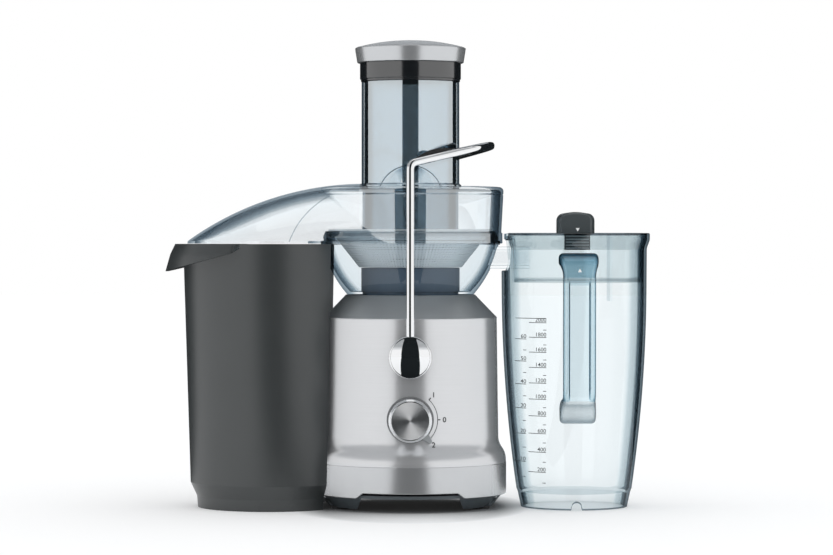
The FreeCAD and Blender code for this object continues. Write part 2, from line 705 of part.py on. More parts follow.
def brush_channel(side):
    z = COMMUTATOR_Z + COMMUTATOR_HEIGHT / 2 - BRUSH_SIDE / 2
    inner = COMMUTATOR_R + SLIP
    box = bar(inner, inner + BRUSH_LENGTH, -BRUSH_SIDE / 2, BRUSH_SIDE / 2, z, z + BRUSH_SIDE)
    return turned(box, 90 + side * 90)


def carbon_brushes():
    return Part.makeCompound([brush_channel(0), brush_channel(2)])


def brush_holders():
    top = COMMUTATOR_Z + COMMUTATOR_HEIGHT
    x0 = COMMUTATOR_R + BRUSH_SHOWS
    block = bar(x0, x0 + BRUSH_LENGTH, -BRUSH_SIDE, BRUSH_SIDE, LOWER_PLATE_Z + PLATE_T, top)
    return Part.makeCompound([turned(block, 90 + side * 90).cut(brush_channel(side)) for side in (0, 2)])


def cooling_fan():
    top = FAN_Z + FAN_HEIGHT
    blade = bar(SHAFT_R + FAN_BLADE_ROOT, FAN_R, -FAN_BLADE_T / 2, FAN_BLADE_T / 2, FAN_Z, top)
    blades = [turned(blade, 360 / FAN_BLADES * i) for i in range(FAN_BLADES)]
    hub = disc(SHAFT_R + FAN_HUB_WALL, FAN_Z, top)
    plate = disc(FAN_R, FAN_Z, FAN_Z + FAN_PLATE_T)
    return joined([hub, plate] + blades).cut(disc(SHAFT_R, FAN_Z, top))


def motor_shaft():
    return disc(SHAFT_R, LOWER_PLATE_Z - SHAFT_TAIL, COUPLING_TOP_Z)


# Filter basket and its drive
def drive_lugs(grow, z0, z1):
    reach = COUPLING_R + LUG_REACH + grow
    half = LUG_WIDTH / 2 + grow
    lug = bar(0, reach, -half, half, z0, z1)
    return [turned(lug, 360 / COUPLING_LUGS * i) for i in range(COUPLING_LUGS)]


def drive_coupling():
    body = disc(COUPLING_R, COUPLING_Z, COUPLING_TOP_Z)
    body = joined([body] + drive_lugs(0, COUPLING_Z + LUG_RISE, COUPLING_TOP_Z))
    return body.cut(disc(SHAFT_R, COUPLING_Z, COUPLING_TOP_Z))


def basket_hub():
    hub = lathe((0, HUB_CAP_Z), (SOCKET_OUTER_R - HUB_CAP_CHAMFER, HUB_CAP_Z), (SOCKET_OUTER_R, SOCKET_TOP_Z),
                (SOCKET_OUTER_R, DISC_Z), (BASKET_FLOOR_R, DISC_Z), (BASKET_FLOOR_R, BASKET_Z),
                (0, BASKET_Z))
    hub = hub.cut(disc(SOCKET_R, BASKET_Z, SOCKET_TOP_Z))
    return hub.cut(joined(drive_lugs(SLIP, BASKET_Z, SOCKET_TOP_Z)))


def cutting_disc():
    plate = ring(DISC_R, SOCKET_OUTER_R, DISC_Z, DISC_Z + DISC_T)
    teeth = []
    inner, outer = SOCKET_OUTER_R + TOOTH_START, DISC_R - TOOTH_EDGE
    for row in range(TOOTH_RINGS):
        radius = inner + (outer - inner) * row / (TOOTH_RINGS - 1)
        tooth = bar(-TOOTH_LENGTH / 2, TOOTH_LENGTH / 2, -TOOTH_T / 2, TOOTH_T / 2,
                    DISC_Z + DISC_T / 2, DISC_Z + DISC_T + TOOTH_HEIGHT)
        tooth = shifted(turned(tooth, TOOTH_ANGLE), x=radius)
        step = 360 / TEETH_PER_RING
        teeth += [turned(tooth, step * (i + row / TOOTH_RINGS)) for i in range(TEETH_PER_RING)]
    return joined([plate] + teeth)


def filter_mesh():
    return lathe((BASKET_FLOOR_R, BASKET_Z), (BASKET_FLOOR_R + MESH_T, BASKET_Z),
                 (BASKET_TOP_R + MESH_T, BASKET_RIM_Z), (BASKET_TOP_R, BASKET_RIM_Z))


def basket_rim():
    return ring(BASKET_TOP_R + BASKET_RIM_WIDTH, BASKET_TOP_R - BASKET_RIM_LAP, BASKET_RIM_Z,
                BASKET_RIM_Z + BASKET_RIM_HEIGHT)


# Juice bowl
def spout_block(inset, x0, x1):
    block = bar(x0, x1, -SPOUT_HALF + inset, SPOUT_HALF - inset,
                SPOUT_LOW_Z + inset, SPOUT_TOP_Z - inset)
    along = [e for e in block.Edges if abs(e.Vertexes[0].X - e.Vertexes[1].X) > 1]
    return block.makeFillet(SPOUT_CORNER - inset, along)


def juice_bowl():
    wall = CLEAR_WALL
    collar_r = HUB_R + NEST
    under_flange = BOWL_RIM_Z - BOWL_FLANGE_T
    middle_z = DECK_Z + BOWL_MID_HEIGHT
    outer = lathe((collar_r, DECK_Z), (BOWL_FOOT_R, DECK_Z),
                  ((BOWL_MID_R, middle_z), (BOWL_RIM_R, under_flange)),
                  (BOWL_FLANGE_R, under_flange), (BOWL_FLANGE_R, BOWL_RIM_Z), (BOWL_HOLE_R, BOWL_RIM_Z),
                  (BOWL_HOLE_R, BOWL_DECK_Z), (collar_r, BOWL_DECK_Z))
    inside = lathe((collar_r + wall, DECK_Z + wall), (BOWL_FOOT_R - wall, DECK_Z + wall),
                   ((BOWL_MID_R - wall, middle_z + BOWL_MID_LIFT), (BOWL_RIM_R - wall, under_flange)),
                   (BOWL_RIM_R - wall, BOWL_RIM_Z), (0, BOWL_RIM_Z), (0, BOWL_DECK_Z + wall),
                   (collar_r + wall, BOWL_DECK_Z + wall))
    bowl = outer.fuse(spout_block(0, BOWL_MID_R - SPOUT_LAP, SPOUT_TIP_X)).cut(inside)
    return bowl.cut(spout_block(CLEAR_WALL, BOWL_MID_R - 2 * SPOUT_LAP, SPOUT_TIP_X)).removeSplitter()


# Cover with pulp dome and feed chute
def dome_plan(inset, z, draft):
    """Outline of the pulp dome from above, at one height."""
    reach = BIN_X - DOME_TIP_X - inset - draft
    root = DRUM_LOW_R - inset - draft
    tip = Part.Arc(V(BIN_X, -reach, z), V(BIN_X - reach, 0, z), V(BIN_X, reach, z)).toShape()
    corners = [V(BIN_X, reach, z), V(0, root, z), V(0, -root, z), V(BIN_X, -reach, z)]
    sides = [Part.makeLine(a, b) for a, b in zip(corners, corners[1:])]
    return Part.Wire([tip] + sides)


def dome_solid(inset, z0):
    """Drafted plan cut by a barrel surface whose ridge falls from the crest to the tip."""
    crest_z = DRUM_TOP_Z + DOME_CREST_RISE
    fall = crest_z - COVER_LOW_Z - DOME_TIP_RISE
    run = DOME_CREST_X - DOME_TIP_X
    ridge_r = (run ** 2 + fall ** 2) / (2 * fall)
    axis_z = crest_z - ridge_r
    span = DRUM_TOP_R + 2 * BEYOND
    crown = DOME_CROWN_R - inset
    edge = axis_z + ridge_r - inset - crown + math.sqrt(crown ** 2 - span ** 2)
    section = face(in_yz, (-span, axis_z), (-span, edge), ((0, axis_z + ridge_r - inset), (span, edge)),
                   (span, axis_z))
    barrel = section.revolve(V(0, 0, axis_z), V(0, 1, 0), 360)
    barrel.translate(V(DOME_CREST_X, 0, 0))
    top = crest_z + BEYOND
    share = (z0 - COVER_LOW_Z) / (top - COVER_LOW_Z)
    low_plan = dome_plan(inset, z0, DOME_DRAFT * share)
    prism = Part.makeLoft([low_plan, dome_plan(inset, top, DOME_DRAFT)], True, True)
    return prism.common(barrel)


def saddle(inset):
    radius = (SADDLE_HALF ** 2 + SADDLE_RISE ** 2) / (2 * SADDLE_RISE)
    centre_z = DRUM_TOP_Z + SADDLE_RISE - radius
    far = DRUM_TOP_R - SADDLE_INSET - inset
    block = front_disc(radius - inset, far, CHUTE_BORE_R - SADDLE_ROOT, 0, centre_z)
    low = DRUM_TOP_Z - 2 * PLASTIC_WALL
    return block.common(bar(-DRUM_TOP_R, DRUM_TOP_R, -DRUM_TOP_R, 0, low, CHUTE_TOP_Z))


def cover():
    wall = CLEAR_WALL
    round_z = DRUM_TOP_Z - DRUM_CORNER
    turn = DRUM_CORNER * (1 - math.sqrt(0.5))
    drum = lathe((0, COVER_LOW_Z), (DRUM_BEAD_R, COVER_LOW_Z), (DRUM_BEAD_R, BOWL_RIM_Z + BEAD_HEIGHT),
                 (DRUM_LOW_R, BOWL_RIM_Z + BEAD_HEIGHT), (DRUM_TOP_R, round_z),
                 ((DRUM_TOP_R - turn, DRUM_TOP_Z - turn), (DRUM_TOP_R - DRUM_CORNER, DRUM_TOP_Z)),
                 (0, DRUM_TOP_Z))
    drum_void = lathe((0, COVER_LOW_Z), (BOWL_FLANGE_R + SLIP, COVER_LOW_Z), (BOWL_FLANGE_R + SLIP, BOWL_RIM_Z),
                      (DRUM_LOW_R - wall, BOWL_RIM_Z), (DRUM_TOP_R - wall, DRUM_TOP_Z - wall),
                      (0, DRUM_TOP_Z - wall))
    outlet = disc(BIN_X - DOME_TIP_X - OUTLET_INSET, COVER_LOW_Z, BOWL_RIM_Z, x=BIN_X)
    outlet = outlet.cut(disc(BIN_HUG_R + BIN_WALL + SLIP, COVER_LOW_Z, BOWL_RIM_Z))
    shell = joined([drum, dome_solid(0, COVER_LOW_Z)] + front_and_rear(saddle(0)))
    for void in [drum_void, dome_solid(wall, BOWL_RIM_Z), outlet] + front_and_rear(saddle(wall)):
        shell = shell.cut(void)
    bump_z = DRUM_TOP_Z - BUMP_DROP
    bead_z = BOWL_RIM_Z + BEAD_HEIGHT
    drum_r = DRUM_LOW_R + (DRUM_TOP_R - DRUM_LOW_R) * (bump_z - bead_z) / (round_z - bead_z)
    bump = front_disc(BUMP_R, DRUM_TOP_R + BUMP_PROUD, drum_r - wall / 2, BUMP_X, bump_z)
    bumps = front_and_rear(bump) + front_and_rear(shifted(bump, x=-2 * BUMP_X))
    return joined([shell] + bumps).cut(disc(CHUTE_R, CHUTE_SKIRT_Z, CHUTE_TOP_Z))


def feed_chute():
    """Round chute on the cover, with a thinner skirt that hangs inside the basket."""
    skirt_r = CHUTE_BORE_R + CHUTE_SKIRT_WALL
    shoulder_z = DRUM_TOP_Z - CLEAR_WALL
    return lathe((CHUTE_BORE_R, CHUTE_SKIRT_Z), (skirt_r, CHUTE_SKIRT_Z), (skirt_r, shoulder_z),
                 (CHUTE_R, shoulder_z), (CHUTE_R, CHUTE_TOP_Z), (CHUTE_BORE_R, CHUTE_TOP_Z))


# Food pusher
def pusher_tube():
    tube = disc(PUSHER_R, PUSHER_Z, COLLAR_TOP_Z)
    tube = tube.cut(disc(PUSHER_R - PUSHER_WALL, PUSHER_Z + PUSHER_WALL, COLLAR_TOP_Z))
    groove = bar(-GUIDE_WIDTH / 2, GUIDE_WIDTH / 2, -PUSHER_R - BEYOND, -PUSHER_R + GUIDE_DEPTH,
                 PUSHER_Z, CHUTE_TOP_Z)
    return tube.cut(groove)


def pusher_collar():
    return ring(COLLAR_R, PUSHER_R, CHUTE_TOP_Z, COLLAR_TOP_Z)


def pusher_cap():
    shoulder = CAP_TOP_R - CAP_SHOULDER
    shoulder_z = CAP_EDGE_Z + CAP_SHOULDER_RISE
    return lathe((COLLAR_R, CAP_Z), (CAP_LOW_R, CAP_Z), (CAP_TOP_R, CAP_EDGE_Z), (shoulder, shoulder_z),
                 dome(shoulder, shoulder_z, CAP_EDGE_Z + CAP_CROWN), (0, COLLAR_TOP_Z),
                 (COLLAR_R, COLLAR_TOP_Z))


# Locking arm
def rod_along(edges, start, direction):
    circle = Part.Wire([Part.makeCircle(ROD_R, start, direction)])
    return Part.Wire(edges).makePipeShell([circle], True, True)


def locking_arm():
    """Two uprights and a tilted loop round the chute; straight tangents and bends join them."""
    slope = math.atan2(ARM_TIP_Z - ARM_CORNER_Z, ARM_TIP_X)
    reach = math.hypot(ARM_TIP_X, ARM_TIP_Z - ARM_CORNER_Z)
    sweep = math.radians(ARM_SWEEP)
    sin_a, cos_a = math.sin(sweep), math.cos(sweep)
    loop_r = (ROD_Y * sin_a / cos_a - reach) / (cos_a - 1 + sin_a ** 2 / cos_a)
    centre = reach - loop_r

    def spot(p, q):
        return V(p * math.cos(slope), q, ARM_CORNER_Z + p * math.sin(slope))

    ends = [spot(centre + loop_r * cos_a, side * loop_r * sin_a) for side in (-1, 1)]
    corners = [V(0, side * ROD_Y, ARM_CORNER_Z) for side in (-1, 1)]
    foot_z = PIVOT_Z + PIVOT_CAP_R - ROD_SOCKET
    feet = [V(0, side * ROD_Y, foot_z) for side in (-1, 1)]
    bends = []
    for corner, end in zip(corners, ends):
        along = (end - corner).normalize()
        half = math.acos(along.z) / 2
        low = corner - V(0, 0, ARM_BEND * math.tan(half))
        high = corner + along * (ARM_BEND * math.tan(half))
        inward = (along - V(0, 0, 1)).normalize()
        middle = corner + inward * (ARM_BEND / math.cos(half) - ARM_BEND)
        bends.append((low, middle, high))
    front, rear = bends
    edges = [Part.makeLine(feet[0], front[0]), Part.Arc(*front).toShape(), Part.makeLine(front[2], ends[0]),
             Part.Arc(ends[0], spot(reach, 0), ends[1]).toShape(), Part.makeLine(ends[1], rear[2]),
             Part.Arc(rear[2], rear[1], rear[0]).toShape(), Part.makeLine(rear[0], feet[1])]
    return rod_along(edges, feet[0], V(0, 0, 1))


def pivot_cap():
    """Domed disc on the front pivot, with a socket for the rod."""
    cap = lathe((0, PIVOT_CAP_BACK), (PIVOT_CAP_R - PIVOT_CAP_CHAMFER, PIVOT_CAP_BACK),
                (PIVOT_CAP_R, PIVOT_CAP_BACK + PIVOT_CAP_CHAMFER),
                (PIVOT_CAP_R, PIVOT_CAP_EDGE), dome(PIVOT_CAP_R, PIVOT_CAP_EDGE, PIVOT_CAP_FRONT))
    cap = shifted(turned(cap, 90, axis=V(1, 0, 0)), z=PIVOT_Z)
    top = PIVOT_Z + PIVOT_CAP_R
    return cap.cut(disc(ROD_R, top - ROD_SOCKET, top + BEYOND, y=-ROD_Y))


def pivot_caps():
    return Part.makeCompound(front_and_rear(pivot_cap()))


def pivot_pins():
    return Part.makeCompound(front_and_rear(front_disc(PIN_R, PIVOT_CAP_BACK, PIN_END, 0, PIVOT_Z)))


def pivot_clips():
    far = PIN_END + CLIP_T
    clip = front_disc(CLIP_R, far, PIN_END, 0, PIVOT_Z).cut(front_disc(PIN_R, far, PIN_END, 0, PIVOT_Z))
    return Part.makeCompound(front_and_rear(clip))


def boss_outside(radius, far, z, bore):
    boss = front_disc(radius, far, PANEL_Y, 0, z).cut(wrap_solid(0))
    return boss.cut(front_disc(bore, far, PANEL_Y, 0, z))


def pivot_bosses():
    return Part.makeCompound(front_and_rear(boss_outside(PIVOT_BOSS_R, PIVOT_CAP_BACK - SLIP, PIVOT_Z, BUSH_R)))


def pivot_bushes():
    far = PIVOT_CAP_BACK - SLIP
    bush = front_disc(BUSH_R, far, BUSH_INNER, 0, PIVOT_Z)
    return Part.makeCompound(front_and_rear(bush.cut(front_disc(PIN_R + RUNNING, far, BUSH_INNER, 0, PIVOT_Z))))


# Dial and controls
def dial_escutcheon():
    return boss_outside(ESCUTCHEON_R, DIAL_BACK - SLIP, DIAL_Z, DIAL_SHAFT_R + DIAL_SHAFT_PLAY)


def speed_dial():
    knob = lathe((0, DIAL_BACK), (DIAL_R, DIAL_BACK), (DIAL_R, DIAL_FRONT - DIAL_CHAMFER),
                 (DIAL_R - DIAL_CHAMFER, DIAL_FRONT), (DIAL_FACE_R, DIAL_FRONT),
                 (DIAL_FACE_R, DIAL_FRONT - DIAL_FACE_SUNK - DIAL_FACE_T),
                 (0, DIAL_FRONT - DIAL_FACE_SUNK - DIAL_FACE_T))
    knob = shifted(turned(knob, 90, axis=V(1, 0, 0)), z=DIAL_Z)
    pointer = bar(0, POINTER_R, -DIAL_BACK - POINTER_T, -DIAL_BACK,
                  DIAL_Z - POINTER_WIDTH / 2, DIAL_Z + POINTER_WIDTH / 2)
    pointer = turned(pointer, -POINTER_ANGLE, V(0, 0, DIAL_Z), V(0, 1, 0))
    bore = front_disc(DIAL_SHAFT_R, DIAL_BACK + DIAL_SHAFT_SOCKET, DIAL_BACK, 0, DIAL_Z)
    return joined([knob, pointer]).cut(bore)


def dial_face():
    far = DIAL_FRONT - DIAL_FACE_SUNK
    return front_disc(DIAL_FACE_R, far, far - DIAL_FACE_T, 0, DIAL_Z)


def dial_shaft():
    return front_disc(DIAL_SHAFT_R, DIAL_BACK + DIAL_SHAFT_SOCKET, DIAL_SHAFT_END, 0, DIAL_Z)


def control_panel():
    """Upright inner plate that carries the speed switch and the arm interlock."""
    top = PIVOT_Z + PANEL_ABOVE_PIVOT
    plate = bar(-PANEL_HALF, PANEL_HALF, -PANEL_Y, -PANEL_Y + PANEL_T, TRAY_TOP_Z, top)
    foot = bar(-PANEL_HALF, PANEL_HALF, -PANEL_Y, -PANEL_Y + PANEL_FOOT, TRAY_TOP_Z, TRAY_TOP_Z + PANEL_T)
    plate = plate.fuse(foot).removeSplitter()
    plate = plate.cut(front_disc(DIAL_SHAFT_R + DIAL_SHAFT_PLAY, PANEL_Y, PANEL_Y - PANEL_T, 0, DIAL_Z))
    return plate.cut(front_disc(PIN_R + PIN_PLAY, PANEL_Y, PANEL_Y - PANEL_T, 0, PIVOT_Z))


def rotary_switch():
    half = SWITCH_SIDE / 2
    near = -PANEL_Y + PANEL_T
    block = bar(-half, half, near, near + SWITCH_DEPTH, DIAL_Z - half, DIAL_Z + half)
    bore_end = DIAL_SHAFT_END - DIAL_SHAFT_END_GAP
    return block.cut(front_disc(DIAL_SHAFT_R + RUNNING, PANEL_Y, bore_end, 0, DIAL_Z))


def interlock_switch():
    near = -PANEL_Y + PANEL_T
    wide, deep, tall = INTERLOCK_SIZE
    low = PIVOT_Z - tall / 2
    return bar(INTERLOCK_X, INTERLOCK_X + wide, near, near + deep, low, low + tall)


def control_board():
    z = TRAY_TOP_Z + STANDOFF
    top = z + BOARD_T
    board = bar(-BOARD_HALF_X, BOARD_HALF_X, BOARD_Y[0], BOARD_Y[1], z, top)
    capacitor = disc(CAPACITOR_R, top, top + CAPACITOR_HEIGHT, *CAPACITOR_AT)
    x, y = CHOKE_AT
    choke = bar(x, x + CHOKE_SIDE, y, y + CHOKE_SIDE, top, top + CHOKE_HEIGHT)
    return joined([board, capacitor, choke])


# Pulp bin
def bin_form(inset, z0, hug):
    top = BIN_TOP_Z
    form = lathe((0, z0), (BIN_BASE_R - inset, z0), (BIN_STEP_R - inset, BIN_STEP_Z),
                 (BIN_FOOT_R - inset, BIN_FOOT_Z), (BIN_TOP_R - inset, top), (0, top))
    return shifted(form, x=BIN_X).cut(disc(hug, -BEYOND, top + BEYOND))


def bin_lip():
    """Turned-down grip and pouring lip on the far end of the rim."""
    top = BIN_TOP_Z
    lip = lathe((BIN_TOP_R - LIP_LAP, top), (LIP_FLAT_R, top), (LIP_KNEE_R, top - LIP_KNEE_DROP),
                (LIP_TIP_R, top - LIP_TIP_DROP), (LIP_TIP_R - BIN_WALL, top - LIP_TIP_DROP),
                (LIP_KNEE_R - LIP_KNEE_WALL, top - LIP_KNEE_DROP),
                (LIP_FLAT_R - LIP_FLAT_INSET, top - BIN_WALL),
                (BIN_TOP_R - LIP_LAP, top - BIN_WALL))
    tip_x = BIN_X - LIP_TIP_R - LIP_PAST_TIP
    keep = face(in_xz, (tip_x, top - LIP_TIP_DROP), (LIP_END_X, top - BIN_WALL),
                (LIP_END_X, top), (tip_x, top))
    keep = shifted(keep.extrude(V(0, 4 * LIP_TIP_R, 0)), y=-2 * LIP_TIP_R)
    return shifted(lip, x=BIN_X).common(keep)


def pulp_bin():
    outer = bin_form(0, 0, BIN_HUG_R)
    inner = bin_form(BIN_WALL, BIN_WALL, BIN_HUG_R + BIN_WALL)
    return outer.fuse(bin_lip()).cut(inner).removeSplitter()


# Juice jug
def oval(shape):
    """Round form about Z to the jug's oval, moved to the jug's place."""
    stretch = FreeCAD.Matrix()
    stretch.scale(1, JUG_OVAL, 1)
    return shifted(shape.transformGeometry(stretch), x=JUG_X)


def jug_form(inset, low):
    """Jug outline filled to its rim, from a low level up."""
    return oval(lathe((0, low), (JUG_LOW_R - inset, low), (JUG_LOW_R - inset, JUG_LOW_Z + inset),
                      ((JUG_WAIST_R - inset, JUG_WAIST_Z), (JUG_SIDE_R - inset, JUG_SIDE_Z)),
                      (JUG_NECK_R - inset, JUG_NECK_Z), (JUG_RIM_R - inset, JUG_RIM_Z),
                      (JUG_RIM_R - inset, JUG_HEIGHT), (0, JUG_HEIGHT)))


def handle_loop():
    """Grip bar in front of the jug, with a channel down its front."""
    front, back = -HANDLE_FRONT, -HANDLE_FRONT + HANDLE_BAR
    top, low = HANDLE_TOP_Z, HANDLE_LOW_Z
    turn = HANDLE_BEND * (1 - math.sqrt(0.5))
    gap_top, gap_low = top - HANDLE_TOP_BAR, low + HANDLE_LOW_BAR
    outside = face(in_yz, (0, top), (front + HANDLE_BEND, top),
                   ((front + turn, top - turn), (front, top - HANDLE_BEND)),
                   (front + HANDLE_LEAN, low + 3 * HANDLE_BEND), (front + HANDLE_HEEL, low + HANDLE_BEND),
                   (0, low - HANDLE_ROOT_DROP))
    gap = face(in_yz, (0, gap_top), (back + HANDLE_GAP_CORNER, gap_top), (back, gap_top - HANDLE_GAP_CORNER),
               (back + HANDLE_LEAN, gap_low + HANDLE_GAP_HEEL_Z), (back + HANDLE_GAP_HEEL_Y, gap_low),
               (0, gap_low - HANDLE_GAP_DROP))
    loop = outside.cut(gap).extrude(V(2 * HANDLE_HALF, 0, 0))
    loop = shifted(loop, x=-HANDLE_HALF)
    sides = [e for e in loop.Edges if abs(e.Vertexes[0].X - e.Vertexes[-1].X) < 0.01
             and max(v.Y for v in e.Vertexes) < -JUG_WAIST_R]
    loop = loop.makeFillet(HANDLE_ROUND, sides)
    channel = bar(-HANDLE_CHANNEL_HALF, HANDLE_CHANNEL_HALF, front - BEYOND, front + HANDLE_CHANNEL_DEPTH,
                  gap_low + HANDLE_CHANNEL_LOW, gap_top - HANDLE_CHANNEL_TOP)
    return shifted(loop.cut(channel), x=JUG_X)


def spout_notch(half, z0, z1, corner):
    """Opening in the jug side that faces the motor base."""
    notch = bar(JUG_X - 2 * JUG_RIM_R, JUG_X - JUG_RIM_R / 2, -half, half, z0, z1)
    low = [e for e in notch.Edges if abs(e.Vertexes[0].X - e.Vertexes[1].X) > 1
           and abs(e.Vertexes[0].Z - z0) < 0.01]
    return notch.makeFillet(corner, low)


def juice_jug():
    foot_top = JUG_LOW_R - JUG_FOOT_INSET
    foot = oval(lathe((JUG_FOOT_R - JUG_WALL, 0), (JUG_FOOT_R, 0), (foot_top, JUG_FLOOR_Z),
                      (foot_top - JUG_WALL, JUG_FLOOR_Z)))
    body = jug_form(0, JUG_FLOOR_Z)
    inside = jug_form(JUG_WALL, JUG_LOW_Z)
    jug = joined([body, foot, handle_loop()]).cut(inside)
    jug = jug.cut(spout_notch(SPOUT_NOTCH_HALF, SPOUT_NOTCH_Z, JUG_HEIGHT + BEYOND, SPOUT_NOTCH_CORNER))
    drop = FOOT_NOTCH_TOP - FOOT_NOTCH_R
    drain = front_disc(FOOT_NOTCH_R, 2 * JUG_RIM_R, 0, JUG_X, drop)
    drain = drain.fuse(bar(JUG_X - FOOT_NOTCH_R, JUG_X + FOOT_NOTCH_R, -2 * JUG_RIM_R, 0, -BEYOND, drop))
    return jug.cut(drain)


# Jug lid
def jug_lid():
    edge = JUG_RIM_R - JUG_WALL - LID_SLIP
    neck = JUG_NECK_R - JUG_WALL - LID_SLIP
    skirt = JUG_SIDE_R - JUG_WALL - LID_SLIP
    bend_z = JUG_NECK_Z - LID_BEND_DROP
    rim_z = JUG_RIM_Z - LID_BEND_DROP
    skirt_z = bend_z - LID_TAPER
    under = LID_TOP_Z - LID_WALL
    lid = oval(lathe((0, LID_TOP_Z), (edge, LID_TOP_Z), (edge, rim_z), (neck, bend_z), (skirt, skirt_z),
                     (skirt, LID_SKIRT_Z), (skirt - LID_WALL, LID_SKIRT_Z), (skirt - LID_WALL, skirt_z),
                     (neck - LID_WALL, bend_z + LID_BEND_LIFT), (edge - LID_WALL - LID_CORNER, under),
                     (0, under)))
    notch_top = SPOUT_TOP_Z + LID_OVER_SPOUT
    lid = lid.cut(bar(0, JUG_X - JUG_RIM_R / 2, -SPOUT_NOTCH_HALF, SPOUT_NOTCH_HALF, 0, notch_top))
    lid = lid.cut(disc(LID_KEEP_OFF, 0, JUG_HEIGHT + BEYOND))
    stem_x = JUG_X - TAB_STEM_HALF
    return lid.cut(bar(stem_x, stem_x + 2 * TAB_STEM_HALF, -TAB_STEM_FRONT, -TAB_STEM_BACK, under, LID_TOP_Z))


def froth_separator():
    """Tongue under the lid that holds the froth back."""
    x = JUG_X + SEPARATOR_X
    return bar(x, x + SEPARATOR_T, -SEPARATOR_HALF, SEPARATOR_HALF, SEPARATOR_Z, LID_TOP_Z - LID_WALL)


def lid_tab():
    block = bar(JUG_X - TAB_HALF, JUG_X + TAB_HALF, -TAB_FRONT, -TAB_BACK, LID_TOP_Z, TAB_TOP_Z)
    upper = [e for e in block.Edges if abs(e.Vertexes[0].Y - e.Vertexes[1].Y) > 1
             and e.Vertexes[0].Z > TAB_TOP_Z - 1]
    block = block.makeFillet(TAB_ROUND, upper)
    stem_x = JUG_X - TAB_STEM_HALF
    stem = bar(stem_x, stem_x + 2 * TAB_STEM_HALF, -TAB_STEM_FRONT, -TAB_STEM_BACK, TAB_STEM_Z, LID_TOP_Z)
    return block.fuse(stem).removeSplitter()


PIECES = (foot_pads, base_tray, case_screws, base_trim, body_wrap, top_cone, drive_hub, shaft_seal, cord_gland,
          motor_mounts, upper_plate, lower_plate, upper_bearing, lower_bearing, tie_bolts, stator_core,
          field_coils, brush_holders, carbon_brushes, control_board, control_panel, rotary_switch,
          interlock_switch, pivot_bosses, pivot_bushes, dial_escutcheon, juice_bowl, cover, feed_chute,
          motor_shaft, rotor_core, armature_coils, commutator, cooling_fan, drive_coupling,
          basket_hub, cutting_disc, filter_mesh, basket_rim,
          speed_dial, dial_face, dial_shaft,
          locking_arm, pivot_caps, pivot_pins, pivot_clips,
          pusher_tube, pusher_collar, pusher_cap,
          pulp_bin, juice_jug, jug_lid, froth_separator, lid_tab)

os.makedirs("parts", exist_ok=True)
for piece in PIECES:
    piece().exportStep("parts/" + piece.__name__ + ".step")
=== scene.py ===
# %% [markdown]
# # A centrifugal juicer, finished in Blender
# The CAD model already holds every piece at its real size and place. This lesson loads it as a
# fixed frame, gives each piece the finish of the real one, and swaps the plain outer shapes for
# ones with soft edges, ribs, holes and printed marks. Nothing is fitted by eye: places come from
# the frame, and lengths in the script are millimetres until a mesh is made.

# %% Load the frame
import json
import math
import bmesh
import bpy
from mathutils import Matrix, Vector


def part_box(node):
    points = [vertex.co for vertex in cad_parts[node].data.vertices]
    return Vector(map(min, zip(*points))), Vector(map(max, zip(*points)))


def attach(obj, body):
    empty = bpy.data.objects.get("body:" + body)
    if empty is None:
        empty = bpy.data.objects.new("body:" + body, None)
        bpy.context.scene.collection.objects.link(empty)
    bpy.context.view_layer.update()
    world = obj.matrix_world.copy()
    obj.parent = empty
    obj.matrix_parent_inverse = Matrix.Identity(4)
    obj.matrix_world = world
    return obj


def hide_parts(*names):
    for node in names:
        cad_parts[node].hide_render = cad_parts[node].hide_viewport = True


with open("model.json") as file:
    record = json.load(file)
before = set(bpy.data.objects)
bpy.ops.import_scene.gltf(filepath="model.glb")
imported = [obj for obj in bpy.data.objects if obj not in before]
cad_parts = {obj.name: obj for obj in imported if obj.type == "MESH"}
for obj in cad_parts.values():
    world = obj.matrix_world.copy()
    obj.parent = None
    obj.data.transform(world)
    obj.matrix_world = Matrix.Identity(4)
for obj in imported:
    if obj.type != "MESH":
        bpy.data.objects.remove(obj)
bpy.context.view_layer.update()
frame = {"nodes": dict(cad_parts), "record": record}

MM = 0.001


def span(node):
    """Lowest and highest corner of a CAD node, in millimetres."""
    return [Vector(corner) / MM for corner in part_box(node)]


# %% [markdown]
# ## Small tools
# A shader takes linear colour, while a colour picked by eye is an sRGB hex value, so one function
# turns one into the other. Node trees read best when each node is made in one line with its
# settings and its links, so a second small function does that for every kind of node.

# %% Colour and node tools
def linear(hex_colour):
    """sRGB hex to the linear colour that a shader takes."""
    parts = [int(hex_colour[i:i + 2], 16) / 255 for i in (1, 3, 5)]
    return (*[p / 12.92 if p <= 0.04045 else ((p + 0.055) / 1.055) ** 2.4 for p in parts], 1.0)


def add(tree, kind, settings=None, links=None):
    """One node with its settings (properties or input values) and its links."""
    node = tree.nodes.new(kind)
    for key, value in (settings or {}).items():
        if isinstance(key, str) and hasattr(node, key):
            setattr(node, key, value)
        else:
            node.inputs[key].default_value = value
    for key, source in (links or {}).items():
        tree.links.new(source, node.inputs[key])
    return node


def new_finish(name):
    """Empty material and its node tree."""
    finish = bpy.data.materials.new(name)
    finish.use_nodes = True
    finish.node_tree.nodes.clear()
    return finish, finish.node_tree


def cycles_per_metre(size_mm):
    """Texture scale at which one feature is this many millimetres wide."""
    return 1 / (size_mm * MM)


print("mid grey", linear("#808080")[:3])

# %% [markdown]
# ## Moulded and painted finishes
# Most of the machine is moulded plastic. The tool that a moulding comes out of is spark-eroded,
# which leaves a fine pebble that scatters the light, and the colour is never quite even. One
# function makes that family: two close colours mixed by a broad noise, and a fine noise that
# bumps the surface and moves the roughness a little. The pebble of a real tool is about 0.1 mm,
# too fine to show here, so it is drawn several times coarser. The finishes differ only in their
# numbers, so they stand in a table, one to a row.

